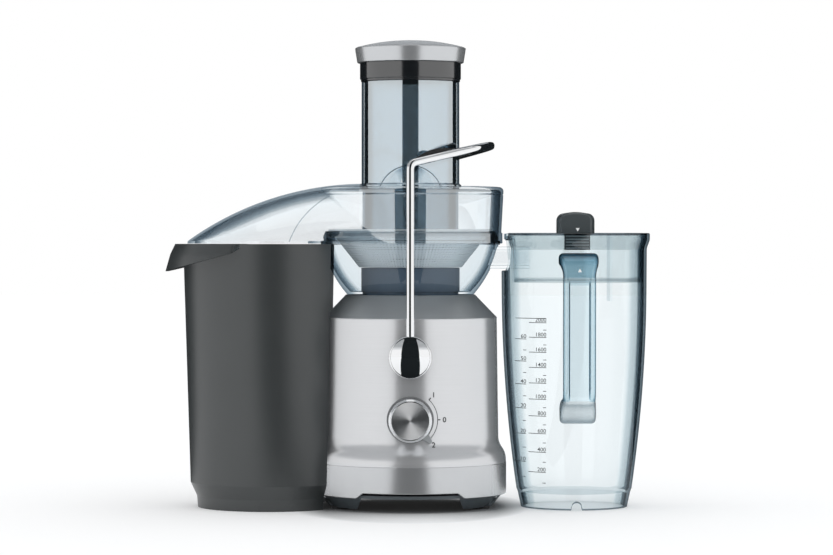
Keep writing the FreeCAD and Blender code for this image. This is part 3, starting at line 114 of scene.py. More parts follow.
# %% Moulded finish
CLOUD_MM, CLOUD_DETAIL = 34.0, 3.0
PEBBLE_DETAIL, PEBBLE_GLOSS, PEBBLE_BUMP = 2.0, 0.04, 0.5


def noise(tree, size_mm, detail):
    """Noise in the piece's own space, with features about this wide."""
    place = add(tree, "ShaderNodeTexCoord").outputs["Object"]
    grain = add(tree, "ShaderNodeTexNoise", {"Scale": cycles_per_metre(size_mm), "Detail": detail},
                {"Vector": place})
    return grain.outputs["Fac"]


def grained(tree, tint, grain, look, bump, sockets):
    """Shader whose colour follows one noise, and whose gloss and bump follow another.

    Look is (dark, light, roughness, its swing) and bump is (strength, height in mm)."""
    dark, light, roughness, swing = look
    strength, height_mm = bump
    colour = add(tree, "ShaderNodeMix", {"data_type": "RGBA", 6: linear(dark), 7: linear(light)}, {0: tint})
    gloss = add(tree, "ShaderNodeMapRange", {"To Min": roughness - swing, "To Max": roughness + swing},
                {"Value": grain})
    relief = add(tree, "ShaderNodeBump", {"Strength": strength, "Distance": height_mm * MM},
                 {"Height": grain})
    shader = add(tree, "ShaderNodeBsdfPrincipled", sockets,
                 {"Base Color": colour.outputs[2], "Roughness": gloss.outputs["Result"],
                  "Normal": relief.outputs["Normal"]})
    add(tree, "ShaderNodeOutputMaterial", links={"Surface": shader.outputs["BSDF"]})


def moulded(name, dark, light, roughness, pebble_mm, pebble_height_mm, sockets=None):
    """Plastic, paint or ink: two close colours and a fine pebble."""
    finish, tree = new_finish(name)
    cloud = noise(tree, CLOUD_MM, CLOUD_DETAIL)
    pebble = noise(tree, pebble_mm, PEBBLE_DETAIL)
    look = (dark, light, roughness, PEBBLE_GLOSS)
    grained(tree, cloud, pebble, look, (PEBBLE_BUMP, pebble_height_mm), sockets)
    return finish


# %% Table of moulded finishes
MOULDED = (
    # Polypropylene, spark-eroded: soft grey with a wide dull shine.
    ("bin_plastic", "bin_polypropylene", "#313536", "#363A3B", 0.34, 0.9, 0.03,
     {"Specular IOR Level": 0.85}),
    # ABS, fine texture: nearly black, dull.
    ("dark_plastic", "base_abs", "#303538", "#363B3E", 0.46, 0.8, 0.04),
    # The same ABS on the feet, drawn lighter: painted light against the shade under the base.
    ("foot_plastic_painted_light", "foot_abs_painted_light", "#50585D", "#565E63", 0.46, 0.9, 0.04),
    # ABS from a polished tool: black with a clear shine.
    ("black_plastic", "polished_black_abs", "#14171A", "#191C1F", 0.13, 3.0, 0.01, {"IOR": 2.1}),
    # ABS with aluminium flake paint: satin silver.
    ("silver_plastic", "flake_painted_abs", "#CBCDCF", "#D3D5D7", 0.24, 0.7, 0.004, {"Metallic": 0.72}),
    # The same paint in a darker grey on the cone under the bowl: painted shade, as the cone sits in the
    # bowl's shade.
    ("cone_paint_painted_shade", "grey_flake_paint_painted_shade", "#8E9295", "#969A9D", 0.34, 0.7, 0.004, {"Metallic": 0.40}),
    # Glass-filled nylon of the drive hub: slate grey, dull.
    ("hub_slate", "slate_nylon", "#46586A", "#4C5E70", 0.60, 0.9, 0.02),
    # ABS of the jug's tab, charcoal with a soft shine, and of its grey ribs.
    ("tab_plastic", "charcoal_abs", "#43494C", "#4B5153", 0.22, 3.0, 0.01),
    ("rib_plastic", "grey_abs_ribs", "#8A9296", "#949CA0", 0.24, 3.0, 0.01),
    # White acetal ring that holds the top of the filter.
    ("rim_white", "white_acetal", "#E6EDF1", "#EEF4F7", 0.30, 1.0, 0.01),
    # Pad-printing inks, thin and matte.
    ("ink", "grey_printing_ink", "#161C20", "#1E2428", 0.55, 0.6, 0.01),
    ("black_ink", "black_printing_ink", "#141618", "#1C1E20", 0.55, 0.6, 0.01),
    # Soft black elastomer moulded onto the arm.
    ("grip_black", "black_elastomer", "#070808", "#0C0D0E", 0.42, 1.0, 0.01),
    # Satin paint of the pointer under the dial.
    ("pointer_grey", "satin_pointer_paint", "#9EA2A4", "#A8ACAE", 0.35, 1.0, 0.01),
    ("white_ink", "white_printing_ink", "#F0F2F3", "#F8F9FA", 0.50, 0.6, 0.01),
    # Glass-filled nylon of the basket carrier.
    ("basket_plastic", "basket_nylon", "#56606A", "#5E6872", 0.40, 0.9, 0.03),
    # Nitrile rubber: black, dull.
    ("rubber", "nitrile_rubber", "#17181A", "#1D1E20", 0.62, 1.2, 0.05),
    # Natural nylon of bushes, fan and switch bodies.
    ("nylon", "natural_nylon", "#D8D3C4", "#E2DED0", 0.44, 1.0, 0.03),
    # Pressed carbon: black and slightly metallic.
    ("carbon", "pressed_carbon", "#232324", "#2D2D2F", 0.50, 0.6, 0.05, {"Metallic": 0.2}),
    # Glass epoxy under green solder mask.
    ("board", "solder_mask", "#14562C", "#1A6435", 0.28, 1.5, 0.02),
    # Machined and zinc-plated steel of shafts, screws and plates.
    ("steel", "machined_steel", "#A9ACAF", "#B8BBBE", 0.30, 0.8, 0.02, {"Metallic": 1.0}),
)
finishes = {slot: moulded(*look) for slot, *look in MOULDED}
print("moulded finishes", sorted(finishes))

# %% [markdown]
# ## Brushed steel
# The wrap round the motor is stainless sheet, brushed along its length before it was rolled, so
# the scratches run round the body. A noise that is squeezed along the height and stretched round
# the body gives those lines; the scratches of a real belt are about 0.1 mm apart, and are drawn
# 0.7 mm apart so that a few show. Half dull, half mirror: the metal shows the studio softly.

# %% Brushed steel finishes
SCRATCH_MM, SCRATCH_LENGTH_MM = 0.7, 60.0
SCRATCH_DETAIL, SCRATCH_GLOSS, SCRATCH_BUMP = 4.0, 0.05, (0.25, 0.01)


def brushed(name, dark, light, roughness, metallic):
    """Metal with fine lines that run level round it."""
    finish, tree = new_finish(name)
    place = add(tree, "ShaderNodeTexCoord").outputs["Object"]
    long, fine = cycles_per_metre(SCRATCH_LENGTH_MM), cycles_per_metre(SCRATCH_MM)
    squeeze = add(tree, "ShaderNodeMapping", {"Scale": (long, long, fine)}, {"Vector": place})
    lines = add(tree, "ShaderNodeTexNoise", {"Scale": 1.0, "Detail": SCRATCH_DETAIL},
                {"Vector": squeeze.outputs["Vector"]}).outputs["Fac"]
    look = (dark, light, roughness, SCRATCH_GLOSS)
    grained(tree, lines, lines, look, SCRATCH_BUMP, {"Metallic": metallic})
    return finish


BRUSHED = (
    ("brushed_steel", "brushed_stainless", "#DADBDD", "#E2E3E5", 0.22, 0.62),
    ("mesh_steel", "etched_stainless", "#E8F0F5", "#F0F8FC", 0.40, 0.35),
    # Motor laminations are stacked sheet, so the same squeezed noise gives their edges.
    ("lamination", "varnished_laminations", "#3A3B3D", "#6A6C6F", 0.42, 0.6),
    # Enamelled winding wire and copper bars.
    ("copper", "enamelled_copper", "#9C4F22", "#C97A42", 0.34, 0.8),
)
finishes.update({slot: brushed(*look) for slot, *look in BRUSHED})
print("brushed finishes", SCRATCH_MM, "mm apart")

# %% [markdown]
# ## Chrome and spun aluminium
# The locking arm and its pivot discs are plated steel, polished until they mirror the studio.
# The face of the dial is turned on a lathe: its rings stretch every highlight along them, which
# gives the bright and dark fans. Anisotropy along a tangent that comes from the face's own UV map
# is that effect itself, so no fans are painted.

# %% Chrome and spun finishes
SMEAR_MM, SMEAR_DETAIL = 9.0, 2.0
SPUN_TURN = 0.96


def polished(name, tone, roughness, smear, sockets=None, along=None):
    """Polished metal; along names the UV map that stretched highlights follow."""
    finish, tree = new_finish(name)
    haze = noise(tree, SMEAR_MM, SMEAR_DETAIL)
    gloss = add(tree, "ShaderNodeMapRange", {"To Min": roughness, "To Max": roughness + smear},
                {"Value": haze})
    shader = add(tree, "ShaderNodeBsdfPrincipled",
                 {"Base Color": linear(tone), "Metallic": 1.0, **(sockets or {})},
                 {"Roughness": gloss.outputs["Result"]})
    if along:
        grain = add(tree, "ShaderNodeTangent", {"direction_type": "UV_MAP", "uv_map": along})
        tree.links.new(grain.outputs["Tangent"], shader.inputs["Tangent"])
    add(tree, "ShaderNodeOutputMaterial", links={"Surface": shader.outputs["BSDF"]})
    return finish


finishes["chrome"] = polished("plated_chrome", "#F2F3F4", 0.02, 0.03)
finishes["bright_metal"] = polished("turned_bevel_aluminium", "#E4E6E8", 0.10, 0.04)
finishes["spun_metal"] = polished("spun_aluminium", "#FAFBFC", 0.43, 0.03,
                                  {"Anisotropic": 1.0, "Anisotropic Rotation": SPUN_TURN}, "around")
print("polished finishes made")

# %% [markdown]
# ## Clear mouldings
# Bowl, cover, chute and pusher are clear polycarbonate with a smoky blue tint. On a thin wall
# the light goes almost straight on, so a tinted transparent shader under a thin mirror gives the
# look without bent rays. Near an edge the eye looks along the wall, through much more plastic,
# and the tint turns dark: Layer Weight gives that angle, and a ramp the tint at each angle. A
# wall has two faces but should tint the light once, so a face met from inside the wall does
# nothing: the Geometry node's Backfacing tells which face that is.

# %% Clear finishes
def clear(name, mirror, mirror_tone, roughness, *tints):
    """Tints are (angle from 0 facing to 1 edge-on, hex colour)."""
    finish, tree = new_finish(name)
    angle = add(tree, "ShaderNodeLayerWeight", {"Blend": 0.5})
    ramp = add(tree, "ShaderNodeValToRGB", links={"Fac": angle.outputs["Facing"]})
    stops = ramp.color_ramp.elements
    while len(stops) < len(tints):
        stops.new(1.0)
    for stop, (spot, tone) in zip(stops, tints):
        stop.position = spot
        stop.color = linear(tone)
    through = add(tree, "ShaderNodeBsdfTransparent", links={"Color": ramp.outputs["Color"]})
    shine = add(tree, "ShaderNodeBsdfAnisotropic", {"Color": linear(mirror_tone), "Roughness": roughness})
    both = add(tree, "ShaderNodeMixShader", {0: mirror}, {1: through.outputs[0], 2: shine.outputs[0]})
    leaving = add(tree, "ShaderNodeNewGeometry").outputs["Backfacing"]
    open_way = add(tree, "ShaderNodeBsdfTransparent")
    once = add(tree, "ShaderNodeMixShader", links={0: leaving, 1: both.outputs[0], 2: open_way.outputs[0]})
    add(tree, "ShaderNodeOutputMaterial", links={"Surface": once.outputs[0]})
    return finish


# %% Table of clear finishes
SKY = "#F6FBFD"
CLEAR = (
    # Smoky polycarbonate of cover, chute, bowl and pusher; thicker walls have darker tints.
    ("clear_plastic", "smoky_polycarbonate", 0.36, SKY, 0.03,
     (0.0, "#FAFCFD"), (0.52, "#F2F7FA"), (0.60, "#8E9EAA"), (1.0, "#4A5C6A")),
    ("chute_plastic", "smoky_chute_polycarbonate", 0.55, "#F2FAFE", 0.03,
     (0.0, "#E4EDF2"), (0.66, "#DCE6EC"), (0.73, "#5A6A76"), (1.0, "#1E2E3A")),
    ("bowl_plastic", "smoky_bowl_polycarbonate", 0.06, SKY, 0.03,
     (0.0, "#F6F9FB"), (0.55, "#EEF4F7"), (0.68, "#9AAAB4"), (1.0, "#4A5C6A")),
    ("thin_clear", "thin_clear_polycarbonate", 0.03, "#F2F8FB", 0.03,
     (0.0, "#FAFCFD"), (0.60, "#F4F8FA"), (0.80, "#B4C2CC"), (1.0, "#5A6C7A")),
    ("skirt_plastic", "smoky_skirt_polycarbonate", 0.03, "#EAF4F8", 0.03,
     (0.0, "#C4CFD6"), (0.60, "#BCC8CF"), (0.70, "#8694A0"), (1.0, "#4A5C6A")),
    ("pusher_plastic", "smoky_pusher_polycarbonate", 0.25, "#EEF6FA", 0.03,
     (0.0, "#DCE5EA"), (0.42, "#D6E0E6"), (0.52, "#AAB8C2"), (0.57, "#3A4A56"), (1.0, "#10202A")),
    # Clear copolyester of the jug and its lid.
    ("jug_plastic", "clear_copolyester", 0.06, SKY, 0.02, (0.0, "#F8FBFC"), (0.36, "#F5F9FA"),
     (0.42, "#E2EAED"), (0.58, "#CDD8DC"), (0.63, "#77858D"), (1.0, "#2E3A42")),
    ("rim_plastic", "thick_rim_copolyester", 0.06, SKY, 0.02,
     (0.0, "#E4EAEC"), (0.44, "#DEE5E7"), (0.60, "#B0BCC2"), (0.68, "#6E7C84"), (1.0, "#2E3A42")),
    ("lid_plastic", "clear_lid_copolyester", 0.04, SKY, 0.02,
     (0.0, "#F3F7F8"), (0.62, "#ECF1F3"), (0.80, "#A2B0B8"), (1.0, "#5E6E7A")),
    ("lid_edge", "thick_lid_edge_copolyester", 0.04, SKY, 0.02,
     (0.0, "#CDD5D8"), (0.60, "#BCC6CA"), (1.0, "#6A787F")),
    ("root_plastic", "frosted_handle_root", 0.10, "#F4F6F7", 0.10,
     (0.0, "#E4E9EB"), (0.40, "#D4DBDE"), (0.62, "#98A4AA"), (1.0, "#3E4A50")),
    # Polycarbonate again, in the cover's bead and raised line.
    ("bead_plastic", "smoky_bead_polycarbonate", 0.22, SKY, 0.03,
     (0.0, "#D6E0E6"), (0.40, "#C2CED6"), (0.60, "#74828C"), (1.0, "#1E2A32")),
    ("faint_clear", "thin_froth_plate", 0.02, SKY, 0.02,
     (0.0, "#FAFDFE"), (0.90, "#F2F7F9"), (1.0, "#C8D2D8")),
    # Solid copolyester of the handle: the same plastic, but so thick that it looks blue.
    ("handle_plastic", "blue_copolyester_channel", 0.06, SKY, 0.02,
     (0.0, "#EBF6FA"), (0.30, "#DDEEF5"), (0.50, "#8FB2C2"), (0.75, "#2E5468"), (1.0, "#173444")),
    ("handle_side", "thick_blue_copolyester", 0.10, SKY, 0.02,
     (0.0, "#D2E4EB"), (0.25, "#C0D8E1"), (0.45, "#6E98AA"), (0.70, "#284C5E"), (1.0, "#142E3C")),
    ("handle_head", "solid_blue_copolyester", 0.08, SKY, 0.02,
     (0.0, "#A2C2D0"), (0.22, "#729EB2"), (0.42, "#2E586C"), (0.70, "#16323F"), (1.0, "#0E222C")),
    ("heel_plastic", "thick_heel_copolyester", 0.06, SKY, 0.02,
     (0.0, "#84929A"), (0.60, "#6A7880"), (1.0, "#2E3A42")),
    # The cover's dome and the jug's level faces.
    ("dome_plastic", "smoky_dome_polycarbonate", 0.12, SKY, 0.06, (0.0, "#FCFDFE"), (0.45, "#F6FAFC"),
     (0.66, "#A4B1BA"), (0.80, "#7C8A94"), (0.92, "#9AA7B0"), (1.0, "#C4CDD4")),
    ("floor_clear", "level_copolyester", 0.04, SKY, 0.02,
     (0.0, "#F8FBFC"), (0.80, "#F0F5F7"), (1.0, "#D2DCE0")),
)
finishes.update({slot: clear(*look) for slot, *look in CLEAR})
print("clear finishes made")

# %% [markdown]
# ## Every CAD node gets its finish
# The record names a material slot for each node. Walking through it once means that no node can
# be forgotten, and a piece made later takes its finish from the same table.

# %% Dress the CAD nodes
slot_of = {part["node"]: part["material_slot"] for part in frame["record"]["subparts"]}
for node, piece in frame["nodes"].items():
    for seat in piece.material_slots:
        seat.material = finishes[slot_of[node]]
# The cone under the bowl takes the darker copy of the silver paint: painted shade.
# The feet take the lighter copy of the base ABS: painted light against the shade under the base.
special = {"pusher_tube": "pusher_plastic", "top_cone": "cone_paint_painted_shade", "drive_hub": "hub_slate",
           "base_tray": "foot_plastic_painted_light"}
for node, finish in special.items():
    frame["nodes"][node].material_slots[0].material = finishes[finish]
print(len(slot_of), "nodes dressed")

# %% [markdown]
# ## Mesh tools
# Nearly every outer piece of this machine is turned about an axis, so the main tool is a lathe: a
# closed outline of radius and height, spun round. Outlines get their soft edges before they are
# spun, because a corner that is rounded as a drawing needs no bevel later. Long flat walls beside
# small round edges shade badly with plain smooth normals; weighting the normals by face area keeps
# the walls flat and lets the edge alone catch the light.

# %% Outlines
def rounded(corners, steps=6):
    """Outline points; a corner written as (x, y, radius) is rounded."""
    points = []
    for index, corner in enumerate(corners):
        here = Vector(corner[:2])
        if len(corner) == 2:
            points.append(tuple(here))
            continue
        before = (Vector(corners[index - 1][:2]) - here).normalized()
        after = (Vector(corners[(index + 1) % len(corners)][:2]) - here).normalized()
        half = before.angle(after) / 2
        centre = here + (before + after).normalized() * (corner[2] / math.sin(half))
        start = here + before * (corner[2] / math.tan(half)) - centre
        end = here + after * (corner[2] / math.tan(half)) - centre
        turn = start.angle_signed(end)
        points += [tuple(centre + Matrix.Rotation(-turn * i / steps, 2) @ start) for i in range(steps + 1)]
    return points


def bow(start, middle, end, steps=16):
    """Points of the even curve from start through middle to end."""
    a, b, c = Vector(start), Vector(middle), Vector(end)
    pull = 2 * b - (a + c) / 2
    shares = [i / steps for i in range(steps + 1)]
    return [tuple(a * (1 - t) ** 2 + pull * 2 * t * (1 - t) + c * t ** 2) for t in shares]


def shrunk(outline, by, middle):
    """Outline drawn in towards its middle by about this much."""
    return [tuple(Vector(point) + (Vector(middle) - Vector(point)).normalized() * by) for point in outline]


def ramp(value, start, end):
    """0 before start, 1 after end, and a soft rise between them."""
    share = min(max((value - start) / (end - start), 0), 1)
    return share ** 2 * (3 - 2 * share)


print("a rounded corner has", len(rounded([(0, 0), (9, 0, 2), (9, 9)])) - 2, "points")

# %% Meshes and their seats
def make(name, points, faces, finish):
    """Mesh piece from points in millimetres, with doubles merged and faces outward."""
    mesh = bpy.data.meshes.new(name)
    mesh.from_pydata([Vector(point) * MM for point in points], [], faces)
    shape = bmesh.new()
    shape.from_mesh(mesh)
    bmesh.ops.remove_doubles(shape, verts=shape.verts, dist=0.002 * MM)
    bmesh.ops.recalc_face_normals(shape, faces=shape.faces)
    shape.to_mesh(mesh)
    shape.free()
    if finish:
        mesh.materials.append(finish)
    piece = bpy.data.objects.new(name, mesh)
    bpy.context.scene.collection.objects.link(piece)
    return piece


def freeze(piece):
    """Turn the piece's modifiers into plain mesh."""
    view = bpy.context.evaluated_depsgraph_get()
    mesh = bpy.data.meshes.new_from_object(piece.evaluated_get(view))
    piece.modifiers.clear()
    piece.data = mesh
    return piece


riders = {}


def seat(piece, body, slot, *nodes, crease=35):
    """Smooth a piece, but for its creases, and hang it on its body in place of its CAD nodes."""
    piece.data.shade_smooth()
    piece.data.set_sharp_from_angle(angle=math.radians(crease))
    weights = piece.modifiers.new("weights", "WEIGHTED_NORMAL")
    weights.keep_sharp = True
    freeze(piece)
    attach(piece, body)
    riders.setdefault(body, []).append(piece)
    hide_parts(*nodes)
    print(piece.name, "has", len(piece.data.polygons), "faces")
    return piece


# %% Lathe, loft and cut
def turned(name, outline, finish, centre=(0, 0), oval=1.0, steps=144, lying=False):
    """Outline of (radius, height) spun round an upright axis, or one that points to the front.

    The outline may be a function of the angle, for a rim that isn't level."""
    points, faces = [], []
    for i in range(steps):
        angle = math.tau * i / steps
        for radius, height in outline(angle) if callable(outline) else outline:
            across, deep = radius * math.cos(angle), radius * math.sin(angle)
            points.append((centre[0] + across, -height, centre[1] + deep) if lying
                          else (centre[0] + across, centre[1] + deep * oval, height))
    count = len(points) // steps
    for i in range(steps):
        here, there = i * count, (i + 1) % steps * count
        for j in range(count):
            k = (j + 1) % count
            faces.append((here + j, there + j, there + k, here + k))
    return make(name, points, faces, finish)


def lofted(name, sections, finish):
    """Closed skin through rings of as many points each, with flat ends."""
    count = len(sections[0])
    points = [point for section in sections for point in section]
    faces = [tuple(range(count)), tuple(range(len(points) - count, len(points)))]
    for i in range(len(sections) - 1):
        for j in range(count):
            k = (j + 1) % count
            faces.append((i * count + j, (i + 1) * count + j, (i + 1) * count + k, i * count + k))
    return make(name, points, faces, finish)


def heading(path, index):
    """Direction of a path at one of its points."""
    return (Vector(path[min(index + 1, len(path) - 1)]) - Vector(path[max(index - 1, 0)])).normalized()


CORD_SIDES = 8
CORD_ASIDE = Vector((0.3, 1, 0.2))


def cord(name, points, radius, finish):
    """Thin round line along points."""
    sections = []
    for i, here in enumerate(points):
        along = heading(points, i)
        side = along.cross(CORD_ASIDE).normalized()
        lift = side.cross(along)
        sections.append([Vector(here) + (side * math.cos(a) + lift * math.sin(a)) * radius
                         for a in (math.tau * k / CORD_SIDES for k in range(CORD_SIDES))])
    return lofted(name, sections, finish)


def cut(piece, tool, how="DIFFERENCE"):
    """Join the tool to the piece, or take it away, and drop the tool."""
    step = piece.modifiers.new("cut", "BOOLEAN")
    step.operation = how
    step.object = tool
    freeze(piece)
    bpy.data.objects.remove(tool)
    return piece


def dress(piece, names, choose):
    """Add finishes to a piece, and choose one for each face from its centre in mm and its normal."""
    for name in names:
        piece.data.materials.append(finishes[name])
    for face in piece.data.polygons:
        face.material_index = choose(face.center / MM, face.normal)


print("tools ready")

# %% [markdown]
# ## Cover with its dome
# The cover is one clear moulding: a shallow drum that sits on the bowl, and a dome that leads the
# pulp over to the bin. A drum comes off the lathe; the dome is a loft of arched sections that grow
# from its tip. Joining the two solids first and then taking away the same two shapes, smaller by
# the wall, leaves one shell with an open way from the drum into the dome, which a pair of
# overlapping shells wouldn't have.

# %% Cover sizes
cover_low, cover_high = span("cover")
bin_low, bin_high = span("pulp_bin")
COVER_WALL = 2.8
BEAD_R, BEAD_HIGH = 88.3, 10.5
DRUM_LOW_R, DRUM_TOP_R, DRUM_HIGH = 87.2, 89.5, 54.0
DOME_REACH = 80.0
DOME_CREST_X, DOME_CREST_Z = -43.5, 309.4
DOME_TIP_HIGH = 2.2
DOME_END_X = -20.0
CHUTE_R = 46.9
low_z = cover_low.z
drum_top_z = low_z + DRUM_HIGH
dome_axis_x = cover_low.x + DOME_REACH
print("cover from", round(low_z, 1), "to", round(drum_top_z, 1), "mm, dome about x =", round(dome_axis_x, 1))

# %% Dome sections
FLANK_LEAN = math.tan(math.radians(28))
FLANK_SHARE = 0.55
ROOF_SHARE = 0.55
ARCH_STEPS = 20
run = DOME_CREST_X - cover_low.x
fall = DOME_CREST_Z - low_z - DOME_TIP_HIGH
ridge_radius = (run ** 2 + fall ** 2) / (2 * fall)


def ridge_z(x):
    """Height of the dome's ridge: an arc that is level at the crest."""
    ahead = min(x - DOME_CREST_X, 0)
    return DOME_CREST_Z - ridge_radius + math.sqrt(ridge_radius ** 2 - ahead ** 2)


def dome_arch(x, inset, base):
    """Arched section at x: leaning flanks that round over into a flat ridge."""
    reach = DOME_REACH - inset
    if x < dome_axis_x:
        half = math.sqrt(max(reach ** 2 - (x - dome_axis_x) ** 2, 1.0))
    else:
        half = reach + (DRUM_LOW_R - DOME_REACH) * (x - dome_axis_x) / -dome_axis_x
    rise = ridge_z(x) - inset - base
    pulls = [Vector((half, 0)), Vector((half - FLANK_SHARE * rise * FLANK_LEAN, FLANK_SHARE * rise)),
             Vector((ROOF_SHARE * half, rise)), Vector((0, rise))]
    side = []
    for i in range(ARCH_STEPS + 1):
        t = i / ARCH_STEPS
        weights = ((1 - t) ** 3, 3 * t * (1 - t) ** 2, 3 * t ** 2 * (1 - t), t ** 3)
        side.append(sum((pull * weight for pull, weight in zip(pulls, weights)), Vector((0, 0))))
    front = [(x, -across, base + up) for across, up in side]
    rear = [(x, across, base + up) for across, up in reversed(side[:-1])]
    return front + rear


def dome_stations(inset, base):
    """Section places, close together at the round tip."""
    reach = DOME_REACH - inset
    round_end = [dome_axis_x - reach * math.cos(math.radians(angle)) for angle in range(2, 90, 4)]
    straight = [dome_axis_x + (DOME_END_X - dome_axis_x) * i / 12 for i in range(13)]
    return [x for x in round_end + straight if ridge_z(x) - inset - base > 0.3]


def dome_solid(name, inset, base):
    """Solid dome, smaller by the inset."""
    sections = [dome_arch(x, inset, base) for x in dome_stations(inset, base)]
    return lofted(name, sections, finishes["clear_plastic"])


print("ridge radius", round(ridge_radius, 1), "mm")

# %% Cover shell
bead_z = low_z + BEAD_HIGH
groove_z = drum_top_z - 8.0
clear_plastic = finishes["clear_plastic"]
cover = turned("cover", rounded([
    (0, low_z), (BEAD_R, low_z, 0.8), (BEAD_R, bead_z, 1.2), (DRUM_LOW_R, bead_z),
    (DRUM_TOP_R - 0.4, groove_z), (DRUM_TOP_R - 1.1, groove_z + 0.6), (DRUM_TOP_R - 0.35, groove_z + 1.4),
    (DRUM_TOP_R, drum_top_z, 4.0), (0, drum_top_z)]), clear_plastic)
cut(cover, dome_solid("dome", 0.0, low_z), "UNION")
BOWL_SEAT_R, BOWL_SEAT_HIGH = 86.3, 2.7
cut(cover, turned("drum_room", rounded([
    (0, low_z - 1), (BOWL_SEAT_R, low_z - 1), (BOWL_SEAT_R, low_z + BOWL_SEAT_HIGH),
    (DRUM_LOW_R - COVER_WALL, low_z + BOWL_SEAT_HIGH),
    (DRUM_TOP_R - COVER_WALL, drum_top_z - COVER_WALL, 2.0), (0, drum_top_z - COVER_WALL)]), clear_plastic))
FLOOR, HOLE_HALF = 2.4, 9
cut(cover, dome_solid("dome_room", COVER_WALL, low_z + FLOOR))
hole_low, hole_top = drum_top_z - HOLE_HALF, drum_top_z + HOLE_HALF
hole = [(0, hole_low), (CHUTE_R, hole_low), (CHUTE_R, hole_top), (0, hole_top)]
cut(cover, turned("chute_hole", hole, clear_plastic))
print("cover cut")

# %% Way out into the bin
OUTLET_R = 73.0
OUTLET_CLEAR_R = 98.4
half_turn = math.acos((OUTLET_CLEAR_R ** 2 - OUTLET_R ** 2 - dome_axis_x ** 2) / (2 * OUTLET_R * dome_axis_x))
outer_arc = [(dome_axis_x + OUTLET_R * math.cos(a), OUTLET_R * math.sin(a))
             for a in (half_turn + (math.tau - 2 * half_turn) * i / 40 for i in range(41))]
half_back = math.atan2(outer_arc[-1][1], outer_arc[-1][0])
inner_arc = [(OUTLET_CLEAR_R * math.cos(a), OUTLET_CLEAR_R * math.sin(a))
             for a in (half_back - (math.tau + 2 * half_back) * i / 24 for i in range(1, 24))]
outlet = [[(x, y, z) for x, y in outer_arc + inner_arc] for z in (low_z - 1, low_z + FLOOR + 0.5)]
cut(cover, lofted("outlet", outlet, clear_plastic))
FLANK_TILT, FLANK_DOWN = 0.2, 3


def cover_finish(centre, normal):
    """1 on the dome and its leaning flanks, 0 on the drum."""
    on_flank = normal.z > FLANK_TILT and centre.x < DOME_END_X and centre.z < drum_top_z - FLANK_DOWN
    return 1 if on_flank or centre.x < -CHUTE_R else 0


dress(cover, ["dome_plastic"], cover_finish)
seat(cover, "base", "clear_plastic", "cover", crease=28)

# %% [markdown]
# A raised line runs from the foot of the dome up to the rim of the drum, and two small stops
# beside each upright of the arm keep it from swinging further.

# %% Line and stops
LINE_R = 0.45
LINE_FOOT, LINE_MIDDLE, LINE_TOP = (-113, low_z + 2.0), (-97, 281), (-70, 301)
STOP_X, STOP_Z, STOP_R = 4.6, 296.5, 1.5


def flank_y(x, z):
    """How far the dome's front face is from the middle at a place and height."""
    arch = [(-y, up) for _, y, up in dome_arch(x, 0.0, low_z)[:ARCH_STEPS + 1]]
    for (y0, z0), (y1, z1) in zip(arch, arch[1:]):
        if z0 <= z <= z1:
            return y0 + (y1 - y0) * (z - z0) / (z1 - z0)
    return arch[-1][0]


bead_plastic = finishes["bead_plastic"]
stop_back, stop_front = DRUM_TOP_R - 2, DRUM_TOP_R + 0.6
line = [(x, flank_y(x, z), z) for x, z in bow(LINE_FOOT, LINE_MIDDLE, LINE_TOP, steps=30)]
line = [(x, -y, z) for x, y, z in line if math.hypot(x, y) > stop_back]
seat(cord("cover_line", line, LINE_R, bead_plastic), "base", "clear_plastic", crease=60)
stop_outline = rounded([(0, stop_back), (STOP_R, stop_back), (STOP_R, stop_front, 0.7), (0, stop_front)])
for side, name in ((-1, "front"), (1, "rear")):
    outline = [(radius, -side * height) for radius, height in stop_outline]
    for x, hand in ((-STOP_X, "_left_stop"), (STOP_X, "_right_stop")):
        stop = turned(name + hand, outline, bead_plastic, centre=(x, STOP_Z), steps=24, lying=True)
        seat(stop, "base", "clear_plastic")


# %% [markdown]
# ## Juice bowl
# The bowl is a clear pan with a raised middle that fits over the drive hub, and a square spout
# towards the jug. The pan is turned in two solids, outside and inside. The spout is joined to the
# outside before the inside is taken away, so that it opens into the pan and nothing is left in it.

# %% Bowl
bowl_low, bowl_high = span("juice_bowl")
BOWL_WALL = 2.8
BOWL_FOOT_R, BOWL_MID_R, BOWL_RIM_R = 60.5, 75.9, 84.6
BOWL_FLANGE_R, BOWL_FLANGE = 86.0, 3.4
BOWL_MID_HIGH = 23.1
COLLAR_R, COLLAR_WALL, DECK_HIGH, DECK_WALL, DECK_HOLE_R = 46.0, 1.2, 22.2, 3.5, 18.0
LIP_R, LIP_INNER_R, LIP_HIGH = 83.8, 80.6, 9.4
bowl_z = bowl_low.z
flange_z = bowl_high.z - BOWL_FLANGE
deck_z = bowl_z + DECK_HIGH
outside = bow((BOWL_FOOT_R, bowl_z), (BOWL_MID_R, bowl_z + BOWL_MID_HIGH), (BOWL_RIM_R, flange_z), steps=24)
inside = bow((BOWL_FOOT_R - BOWL_WALL, bowl_z + BOWL_WALL),
             (BOWL_MID_R - BOWL_WALL, bowl_z + BOWL_MID_HIGH + 0.5),
             (BOWL_RIM_R - BOWL_WALL, flange_z), steps=24)
lip_z = bowl_high.z + LIP_HIGH
bowl = turned("juice_bowl", [(COLLAR_R, bowl_z)] + outside
              + rounded([(BOWL_FLANGE_R, flange_z, 0.6), (BOWL_FLANGE_R, bowl_high.z, 0.6),
                         (LIP_R - 0.6, bowl_high.z + 0.4), (LIP_R, bowl_high.z + 4.0, 3.0),
                         (LIP_INNER_R + 1.0, lip_z, 0.7), (DECK_HOLE_R, lip_z),
                         (DECK_HOLE_R, deck_z), (COLLAR_R, deck_z)]), finishes["bowl_plastic"])
SPOUT_HALF, SPOUT_LOW, SPOUT_TALL, SPOUT_ROUND = 15.0, 25.0, 21.0, 5.0


